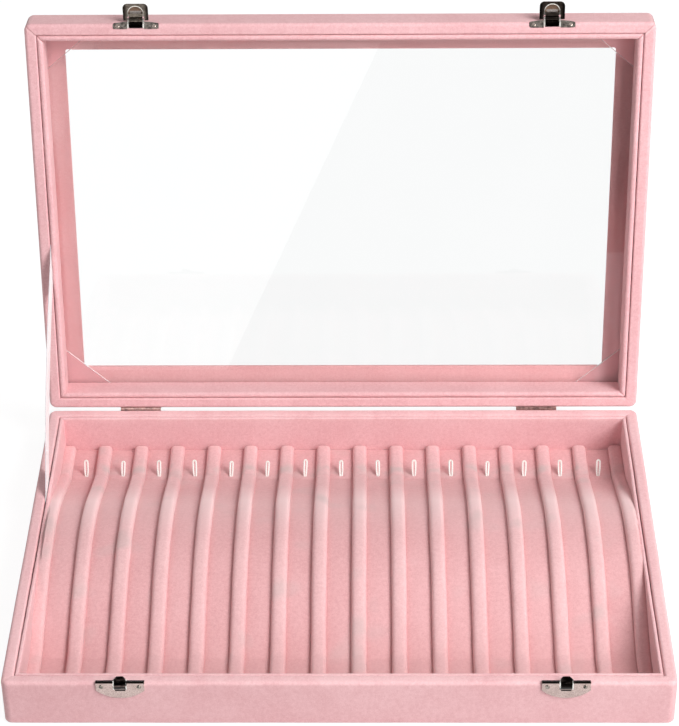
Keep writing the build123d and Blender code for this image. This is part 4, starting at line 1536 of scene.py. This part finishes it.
@dataclass
class RibbonStay:
    """The satin ribbon that stops the lid, in the plane between the left wall and the left liners."""

    wardrobe: Wardrobe
    hinge: tuple[float, float]
    open_angle: float
    tray_reach: float = 78.2 * MM
    lid_reach: float = 92.8 * MM
    lid_rim_above_axis: float = 0.3 * MM
    width: float = 14.0 * MM
    tail: float = 12.0 * MM
    bulge: float = 1.0 * MM
    curl: float = 0.12 * MM
    twist_degrees: float = 1.0
    thickness: float = 0.3 * MM
    rows: int = 150
    columns: int = 13

    def seams(self) -> tuple[Array, Array]:
        """Where the ribbon leaves the tray and where it meets the lid that stands open.

        Returns:
            Two points (y, z).
        """
        hinge_y, hinge_z = self.hinge
        cosine, sine = math.cos(self.open_angle), math.sin(self.open_angle)
        back, above = -self.lid_reach, self.lid_rim_above_axis
        start = np.array([hinge_y - self.tray_reach, float(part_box("tray_left_liner")[1].z)])
        end = np.array([hinge_y + back * cosine + above * sine, hinge_z - back * sine + above * cosine])
        return start, end

    def build(self) -> Piece:
        """Lays the strip from its seam in the tray to its seam in the lid.

        The centre line runs straight between the seams, and each point of the strip is the centre
        line's point plus a share of the width across it, turned and bulged slightly out of its
        plane in the middle, as a ribbon under little load stands.

        Returns:
            The ribbon.
        """
        node_low, node_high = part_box("stay_ribbon")
        plane_x = float(node_low.x + node_high.x) / 2
        start, end = self.seams()
        span = float(np.linalg.norm(end - start))
        run = (end - start) / span
        along = np.linspace(-self.tail, span + self.tail, self.rows)
        wide = np.linspace(-0.5, 0.5, self.columns)
        free = np.sin(math.pi * np.clip(along / span, 0, 1))[:, None]
        twist = math.radians(self.twist_degrees) * free**2
        shift = self.width * wide[None, :] * np.cos(twist)
        curl = self.curl * np.cos(wide * math.pi)[None, :] * free
        x = plane_x + self.width * wide[None, :] * np.sin(twist) + curl - self.bulge * free
        y = start[0] + run[0] * along[:, None] + run[1] * shift
        z = start[1] + run[1] * along[:, None] - run[0] * shift
        middle = np.stack([x, y, z], axis=-1)
        half = np.array([self.thickness / 2, 0, 0])
        rings = np.concatenate([middle - half, (middle + half)[:, ::-1]], axis=1)
        made = mesh_object("satin_stay", *tubes([rings]), sharp=60.0)
        whole = span + 2 * self.tail
        strip_uv(made, np.concatenate([wide, wide[::-1]]) + 0.5, (along + self.tail) / whole)
        covered(made, self.wardrobe.other(SatinFinish()))
        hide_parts("stay_ribbon")
        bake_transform(made)
        return made


@dataclass
class Boards:
    """The velvet-covered boards of tray and lid, and the cloth under the case."""

    wardrobe: Wardrobe
    nodes: dict[str, Piece]
    corner: float = 4.0 * MM
    wall: tuple[float, float] = (0.0, 6.5 * MM)
    wall_radii: tuple[float, ...] = (0.9 * MM, 2.0 * MM, 1.5 * MM, 0.4 * MM)
    wall_crease: float = 0.15 * MM
    liner: tuple[float, float] = (6.85 * MM, 8.8 * MM)
    liner_radii: tuple[float, ...] = (0.3 * MM, 0.7 * MM, 0.9 * MM, 0.3 * MM)
    liner_below_rim: float = 0.5 * MM
    liner_bow: tuple[float, float] = (0.35 * MM, -0.3 * MM)
    liner_crease: float = 0.25 * MM
    lid_liner: tuple[float, float] = (6.7 * MM, 10.0 * MM)
    lid_liner_heights: tuple[float, float] = (29.7 * MM, 44.0 * MM)
    lid_liner_radii: tuple[float, ...] = (1.5 * MM, 0.3 * MM, 0.3 * MM, 1.7 * MM)
    lid_liner_bow: tuple[float, float] = (0.15 * MM, 0.15 * MM)
    lid_liner_crease: float = 0.5 * MM
    mitre_reach: float = 0.7 * MM
    rim_band_reach: float = 1.6 * MM
    warp: float = 0.1 * MM
    warp_length: float = 45.0 * MM
    warp_seeds: tuple[int, int, int] = (61, 62, 63)

    def ring(
        self,
        name: str,
        section: Array,
        bow: tuple[float, float],
        crease: float,
        replaced: str,
        lid: Matrix | None = None,
    ) -> Piece:
        """Four covered boards as one soft ring, mitred at the corners.

        The section is carried around the case. Its rim sinks by crease at the mitres, as a bell curve
        of the distance from the diagonal, and the whole is warped by a tenth of a millimetre.

        Args:
            name: the piece's name.
            section: points (offset, height), in the shut case.
            bow: how far the sides bow in.
            crease: depth of the mitres.
            replaced: start and end of the replaced nodes' names, with a star between.
            lid: turns the shut lid to the open one, for boards of the lid.

        Returns:
            The ring.
        """
        points = carried(section, CASE_HALF, self.corner, bow)
        x, y, z = np.moveaxis(points, -1, 0)
        middle = (section[:, 1].max() + section[:, 1].min()) / 2
        diagonal = CASE_HALF[0] - np.abs(x) - CASE_HALF[1] + np.abs(y)
        sunk = crease * np.exp(-((diagonal / self.mitre_reach) ** 2)) * np.sign(middle - z)
        pairs = zip(((y, z), (x, z), (x, y)), self.warp_seeds)
        warp = np.stack([waviness(*pair, self.warp_length, seed) for pair, seed in pairs], axis=-1)
        warped = points + self.warp * warp + sunk[..., None] * UP
        # A band at the rim for the velvet's pale colour: abrasion with painted sheen.
        rim = section[:, 1].min() if lid else section[:, 1].max()
        wear_and_shine = np.exp(-np.abs(section[:, 1] - rim) / self.rim_band_reach)
        index = np.arange(x.size).reshape(x.shape)
        ahead, across = np.roll(index, -1, axis=0), np.roll(index, -1, axis=1)
        faces = np.stack([index, across, np.roll(ahead, -1, axis=1), ahead], -1).reshape(-1, 4).tolist()
        made = mesh_object(name, moved(warped, lid or Matrix()), faces, sharp=60.0)
        covered(made, self.wardrobe.velvet(Velvet.LID if lid else Velvet.TRAY))
        point_values(made, "wear_and_shine", np.broadcast_to(wear_and_shine, x.shape))
        first, last = replaced.split("*")
        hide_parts(*[first + side + last for side in ("front", "back", "left", "right")])
        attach(made, (Body.LID if lid else Body.TRAY).value)
        return made

    def build(self, lid: Matrix) -> list[Piece]:
        """Makes the tray's walls and liners and the lid's liners.

        Args:
            lid: turns the shut lid to the open one.

        Returns:
            The three rings.
        """
        foot, rim = (float(c.z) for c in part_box("tray_front_wall"))
        board = float(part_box("tray_front_liner")[0].z)
        wall = board_section(*self.wall, foot, rim, self.wall_radii)
        liner = board_section(*self.liner, board, rim - self.liner_below_rim, self.liner_radii)
        inner = board_section(*self.lid_liner, *self.lid_liner_heights, self.lid_liner_radii)
        return [
            self.ring("tray_walls", wall, (0.0, 0.0), self.wall_crease, "tray_*_wall"),
            self.ring("tray_liners", liner, self.liner_bow, self.liner_crease, "tray_*_liner"),
            self.ring("lid_liners", inner, self.lid_liner_bow, self.lid_liner_crease, "lid_*_liner", lid),
        ]

    def dress(self) -> int:
        """Gives every board that stays its velvet, and the base and the tray's bottom their cloth.

        Returns:
            How many nodes were dressed.
        """
        velvets = {"_wall": Velvet.LID, "_frame": Velvet.FRAME}
        cloths = ("base_cover", "tray_bottom_board")
        boards = [n for n in self.nodes if n.startswith("lid_") and n.endswith(tuple(velvets))]
        for name in boards:
            assign(self.nodes[name], self.wardrobe.velvet(velvets[name[name.rindex("_"):]]))
        for name in cloths:
            assign(self.nodes[name], self.wardrobe.other(ClothFinish()))
        return len(boards) + len(cloths)


@dataclass
class Pane:
    """The glass, with its four corners clipped and its edges ground."""

    wardrobe: Wardrobe
    heights: tuple[float, float] = (44.0 * MM, 46.0 * MM)
    ground: float = 0.3 * MM
    clip_shares: tuple[float, float] = (0.45, 0.5)

    def outline(self, inset: float, height: float) -> Array:
        """The eight corners of the clipped rectangle, set in by some distance.

        Args:
            inset: the distance.
            height: how high it lies in the shut case.

        Returns:
            Points, shape (8, 3).
        """
        x, y = (half - inset for half in PANE_HALF)
        reaches = zip((x, y), PANE_CLIP, self.clip_shares)
        near_x, near_y = (place - clip + inset * share for place, clip, share in reaches)
        quarter = np.array([(x, near_y, height), (near_x, y, height)])
        mirrors = ((1, 1, 1), (-1, 1, 1), (-1, -1, 1), (1, -1, 1))
        quarters = (quarter, quarter[::-1], quarter, quarter[::-1])
        return np.concatenate([part * mirror for part, mirror in zip(quarters, mirrors)])

    def build(self, lid: Matrix) -> Piece:
        """Stacks four outlines: the faces', set in by the ground edge, and the rim's.

        Args:
            lid: turns the shut lid to the open one.

        Returns:
            The pane.
        """
        ground, (low, high) = self.ground, self.heights
        levels = ((ground, low), (0.0, low + ground), (0.0, high - ground), (ground, high))
        points, faces = tubes([np.stack([self.outline(*level) for level in levels])])
        made = mesh_object("clear_glass", moved(points, lid), faces, sharp=20.0)
        point_values(made, "ground", np.repeat([0.0, 1.0, 1.0, 0.0], len(points) // len(levels)))
        covered(made, self.wardrobe.other(GlassFinish()))
        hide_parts("glass_pane")
        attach(made, Body.LID.value)
        return made


@dataclass
class Hardware:
    """Hinges, latches and nails."""

    wardrobe: Wardrobe
    nodes: dict[str, Piece]
    lid: Matrix
    swings: dict[str, float] = field(default_factory=lambda: {"left": 80.0, "right": 90.0})
    pivot: tuple[float, float] = (-121.4 * MM, 32.5 * MM)
    housing_half: float = 3.85 * MM
    pocket_mm: tuple[tuple[float, float], ...] = ((-119.6, 34.15), (-117.95, 34.15), (-117.95, 29.75))
    pocket_radius: float = 0.5 * MM
    pocket_step: float = 0.25 * MM
    pocket_sheet: float = 0.2 * MM
    backing_points: int = 9
    slot_half: float = 2.65 * MM
    slot_y_mm: tuple[float, float] = (-120.3, -120.08)
    slot_z_mm: tuple[float, float] = (24.25, 24.95)

    def hasp_finish(self, side: str) -> HaspFinish:
        """The plating of one flap, from where its pin is and how far it stands open.

        Args:
            side: left or right.

        Returns:
            The finish, with painted shade on the right flap.
        """
        swing = math.radians(-self.swings[side])
        turn = self.lid.to_3x3()
        place = self.lid @ Vector((LATCH_MIDDLES[side], *self.pivot))
        along = turn @ Vector((0, math.sin(swing), -math.cos(swing)))
        facing = turn @ Vector((0, math.cos(swing), math.sin(swing)))
        # Painted shade: the right flap's face and sides are darker.
        shades = {"left": {}, "right": {"face": linear(62, 54, 49), "side": linear(16, 13, 12)}}
        return HaspFinish(f"flap_plating_{side}", tuple(place), tuple(along), tuple(facing), **shades[side])

    def backing(self, name: str, loop: Array, half: float, lid: Matrix, body: Body) -> Piece:
        """Carries a closed loop in the y-z plane across each of the two latches.

        Args:
            name: the piece's name.
            loop: points (y, z) of the section.
            half: half its width in x.
            lid: turns the points to where they stand.
            body: what it moves with.

        Returns:
            The two near black shade sheets, as one piece.
        """
        runs = []
        for middle in LATCH_MIDDLES.values():
            x = middle + np.linspace(-half, half, self.backing_points)[:, None]
            runs.append(np.stack(np.broadcast_arrays(x, loop[None, :, 0], loop[None, :, 1]), axis=-1))
        points, faces = tubes(runs)
        made = mesh_object(name, moved(points, lid), faces)
        # Near black, standing in for the shade in the latches' hollows and behind the slots.
        covered(made, self.wardrobe.metal(Metal.DARK_NICKEL))
        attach(made, body.value)
        return made

    def shade_sheets(self) -> list[Piece]:
        """Near black sheets that stand in for shade: a trough between each latch housing's cheeks, and a
        strip behind each catch's slot.

        The trough's line runs down the back of the pocket and forward along its floor, rounded
        between them, and has the thickness of thin sheet. The strip is a rectangle inside the slot.

        Returns:
            The troughs and the strips.
        """
        line = rounded_line(np.array(self.pocket_mm) * MM, np.array([self.pocket_radius]), self.pocket_step)
        behind = line + sideways(line) * self.pocket_sheet
        trough = np.concatenate([line, behind[::-1]])
        (front, back), (low, high) = self.slot_y_mm, self.slot_z_mm
        strip = np.array([(front, low), (front, high), (back, high), (back, low)]) * MM
        return [
            self.backing("latch_pocket_shade", trough, self.housing_half, self.lid, Body.LID),
            self.backing("catch_slot_shade", strip, self.slot_half, Matrix(), Body.TRAY),
        ]

    def plating(self, name: str) -> bpy.types.Material | None:
        """The plating of one node.

        Args:
            name: the node's name.

        Returns:
            The material, or None if the node isn't hardware.
        """
        if "hinge" in name:
            return self.wardrobe.metal(Metal.BRONZE)
        if name in ("hasp_left", "hasp_right"):
            return self.wardrobe.other(self.hasp_finish(name.split("_")[1]))
        if name in ("catch_plate_left", "catch_plate_right"):
            return self.wardrobe.other(CatchFinish())
        # Speckled: painted glints and painted dark reflection.
        if name in ("latch_plate_left", "latch_plate_right", "catch_plate_nails"):
            return self.wardrobe.metal(Metal.SPECKLED)
        return self.wardrobe.metal(Metal.NICKEL) if name.startswith(("latch", "catch", "hasp")) else None

    def dress(self) -> int:
        """Gives each piece of hardware its plating.

        Returns:
            How many nodes were dressed.
        """
        platings = {name: self.plating(name) for name in self.nodes}
        dressed = {name: plating for name, plating in platings.items() if plating}
        for name, plating in dressed.items():
            assign(self.nodes[name], plating)
        return len(dressed)


@dataclass(frozen=True)
class Lamp:
    """An area lamp: its heading from the case, the length of its square side, and its power in watts."""

    name: str
    heading: Place
    size: float
    power: float


@dataclass
class Studio:
    """Floor, world, lamps and the camera."""

    focal_pixels: float = 2413.64
    sensor: float = 36.0
    sight: float = 50.0
    eye: Place = (0.0172214, -1.0449965, 0.8769435)
    right: Place = (0.99991123, 0.00983197, -0.00899226)
    up: Place = (0.00173716, 0.57293259, 0.81960065)
    ahead: Place = (-0.01321024, 0.81954352, -0.57286465)

    key: Lamp = Lamp("key", (1.0, -0.62, 1.15), 1.1, 39.0)
    fill: Lamp = Lamp("fill", (0.9, -1.0, 0.35), 1.2, 13.0)
    side: Lamp = Lamp("side", (-1.0, -0.25, 0.45), 1.4, 7.0)
    lamp_distance: float = 2.0
    lit_middle: Place = (0.0, 0.02, 0.08)
    veil_share: float = 0.51
    veil_gap: float = 0.01

    ambient: float = 0.27
    ambient_tint: Colour = (1.0, 0.985, 0.975)
    plain: Colour = (1.0, 1.0, 1.0)
    behind: float = 0.997
    dusk: Ramp = Ramp(0.02, 0.36, 0.85, 0.04)
    overhead: Ramp = Ramp(0.86, 0.96, 0.0, 0.5)

    card_y: float = 0.1
    card_span: tuple[float, float, float] = (0.18, 0.033, 0.236)
    glare_foot: float = -0.0718
    glare_head: float = 0.023
    glare_levels: tuple[float, float] = (1.3, 0.0)

    floor_half: float = 4.0
    floor_height: float = -0.1 * MM
    floor_lit: Colour = (0.55, 0.55, 0.55)
    floor_shaded: Colour = (0.2, 0.2, 0.2)
    floor_glow: float = 0.9

    def camera(self) -> None:
        """Stands the camera where the photograph was taken from."""
        data = bpy.data.cameras.new("camera")
        data.sensor_fit = "HORIZONTAL"
        data.sensor_width = self.sensor
        data.lens = self.focal_pixels * self.sensor / IMAGE_WIDTH
        data.clip_end = self.sight
        made = bpy.data.objects.new("camera", data)
        bpy.context.scene.collection.objects.link(made)
        columns = np.eye(4)
        columns[:3] = np.stack([self.right, self.up, -np.array(self.ahead), self.eye], axis=1)
        made.matrix_world = Matrix(columns.tolist())
        bpy.context.scene.camera = made

    def floor(self) -> None:
        """A plain pale floor that is white to the camera and keeps the object's shadow."""
        corners = np.array([(-1, -1, 0), (1, -1, 0), (1, 1, 0), (-1, 1, 0)]) * self.floor_half
        made = mesh_object("floor", corners + np.array([0, 0, self.floor_height]), [[0, 1, 2, 3]])
        g = Graph.material("pale_floor")
        path = g.node("ShaderNodeLightPath").outputs
        colours = (self.floor_lit, self.floor_shaded)
        lit, shaded = (g.first("ShaderNodeBsdfDiffuse", {"Color": (*colour, 1)}) for colour in colours)
        shown = g.first("ShaderNodeAddShader", {0: shaded, 1: g.glow(self.floor_glow)})
        seen = g.either(path["Is Camera Ray"], lit, shown)
        mirrored = g.math("MAXIMUM", path["Is Transmission Ray"], path["Is Glossy Ray"])
        made.data.materials.append(g.finish(g.either(mirrored, seen, g.glow(self.behind))))

    def hide(self, card: Piece, rays: tuple[str, ...]) -> None:
        """Hides a card from some kinds of ray, and from the camera, scattered light and shadows.

        Args:
            card: the card.
            rays: the kinds of ray.
        """
        for ray in ("camera", "diffuse", "volume_scatter", "shadow", *rays):
            setattr(card, f"visible_{ray}", False)

    def glare(self) -> None:
        """A card in front of the glass that only its reflections show: bright at the lower left, else dark.

        The side turned from the open lid is clear, so the shut lid doesn't mirror it.
        """
        side, low, high = self.card_span
        foot = [(x, self.card_y, low) for x in (-side, self.glare_foot, side)]
        corners = np.array(foot + [(x, self.card_y, high) for x in (side, self.glare_head, -side)])
        made = mesh_object("glare_card", corners, [[0, 1, 4, 5], [1, 2, 3, 4]])
        for name, level in zip(("glare_bright", "glare_dark"), self.glare_levels):
            g = Graph.material(name)
            back = g.node("ShaderNodeNewGeometry").outputs["Backfacing"]
            shown = g.either(back, g.first("ShaderNodeBsdfTransparent"), g.glow(level))
            made.data.materials.append(g.finish(shown))
        made.data.polygons[1].material_index = 1
        self.hide(made, ("transmission",))

    def world(self) -> None:
        """White to camera and transmission rays, a dusky room to glossy ones, soft light to the rest."""
        world = bpy.data.worlds.new("studio")
        bpy.context.scene.world = world
        g = Graph(world)
        rays = g.node("ShaderNodeLightPath").outputs
        heading = g.node("ShaderNodeTexCoord").outputs["Generated"]
        height = g.node("ShaderNodeSeparateXYZ", {0: heading}).outputs[2]
        gleam = g.math("ADD", g.ramp(height, self.dusk), g.ramp(height, self.overhead))
        tints, powers = (self.ambient_tint, self.plain, self.plain), (self.ambient, gleam, self.behind)
        lights = ({"Color": (*tint, 1), "Strength": power} for tint, power in zip(tints, powers))
        soft, room, white = (g.first("ShaderNodeBackground", light) for light in lights)
        through = g.math("MAXIMUM", rays["Is Camera Ray"], rays["Is Transmission Ray"])
        shown = g.either(through, g.either(rays["Is Glossy Ray"], soft, room), white)
        g.node("ShaderNodeOutputWorld", {0: shown})

    def lamp(self, lamp: Lamp) -> None:
        """Stands an area lamp at its distance from the case's middle, facing it, with its veil.

        Args:
            lamp: the lamp.
        """
        data = bpy.data.lights.new(lamp.name, "AREA")
        data.size = lamp.size
        data.energy = lamp.power
        made = bpy.data.objects.new(lamp.name, data)
        bpy.context.scene.collection.objects.link(made)
        back = unit(np.array(lamp.heading))
        side = unit(np.cross(UP, back))
        frame = np.eye(4)
        place = self.lit_middle + back * self.lamp_distance
        frame[:3] = np.stack([side, np.cross(back, side), back, place], axis=1)
        made.matrix_world = Matrix(frame.tolist())
        self.veil(lamp, frame)

    def veil(self, lamp: Lamp, frame: Array) -> None:
        """A sheet just before a lamp that shows the room there in sharp mirror images, else clear.

        Its glow is the room's, from the height of the direction from the middle, and white to what
        has passed through the glass.

        Args:
            lamp: the lamp.
            frame: its matrix.
        """
        half = self.veil_share * lamp.size
        corners = [(x * half, y * half, -self.veil_gap, 1) for x, y in ((-1, -1), (1, -1), (1, 1), (-1, 1))]
        made = mesh_object(f"{lamp.name}_veil", (np.array(corners) @ frame.T)[:, :3], [[0, 1, 2, 3]])
        g = Graph.material(f"{lamp.name}_veil")
        heading = g.first("ShaderNodeVectorMath", {0: g.place()}, operation="NORMALIZE")
        path = g.node("ShaderNodeLightPath").outputs
        passed = g.times(path["Is Transmission Ray"], self.behind)
        room = g.glow(g.math("MAXIMUM", g.ramp(g.dot(heading, UP), self.dusk), passed))
        shown = g.either(path["Is Singular Ray"], g.first("ShaderNodeBsdfTransparent"), room)
        made.data.materials.append(g.finish(shown))
        self.hide(made, ())

    def build(self) -> None:
        """Sets the stage: a soft key from the right and above, a weak fill, and a weaker one at the left."""
        self.camera()
        self.floor()
        self.glare()
        self.world()
        for lamp in (self.key, self.fill, self.side):
            self.lamp(lamp)
        bpy.context.scene.view_settings.view_transform = "Standard"


def main() -> None:
    """Builds the looks piece by piece and reports each."""
    logging.basicConfig(level=logging.INFO, format="%(name)s: %(message)s")
    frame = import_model()
    nodes = frame["nodes"]
    joint = next(j for j in frame["joints"] if j["name"] == "lid_hinge")
    hinge_y, hinge_z = joint["pos_m"][1:]
    opened = math.radians(joint["range_deg"][1])
    hinge = np.array([hinge_y, hinge_z])
    cosine, sine = math.cos(opened), math.sin(opened)
    turned = np.array([[cosine, -sine], [sine, cosine]]) @ hinge
    wardrobe = Wardrobe(opened, (0.0, *(hinge - turned).tolist()))
    axle = Matrix.Translation((0, hinge_y, hinge_z))
    lid = axle @ Matrix.Rotation(-opened, 4, "X") @ axle.inverted()

    boards = Boards(wardrobe, nodes)
    LOG.info("boards dressed: %d", boards.dress())
    hardware = Hardware(wardrobe, nodes, lid)
    LOG.info("hardware dressed: %d", hardware.dress())
    pieces = [*boards.build(lid), Pane(wardrobe).build(lid), *hardware.shade_sheets()]
    pad = NecklacePad(wardrobe)
    pieces += [pad.surface(), pad.rolls(), ElasticLoops(wardrobe, pad).build()]
    pieces.append(RibbonStay(wardrobe, (hinge_y, hinge_z), opened).build())
    for piece in pieces:
        LOG.info("%s: %d faces", piece.name, len(piece.data.polygons))
    Studio().build()


if __name__ == "__main__":
    main()
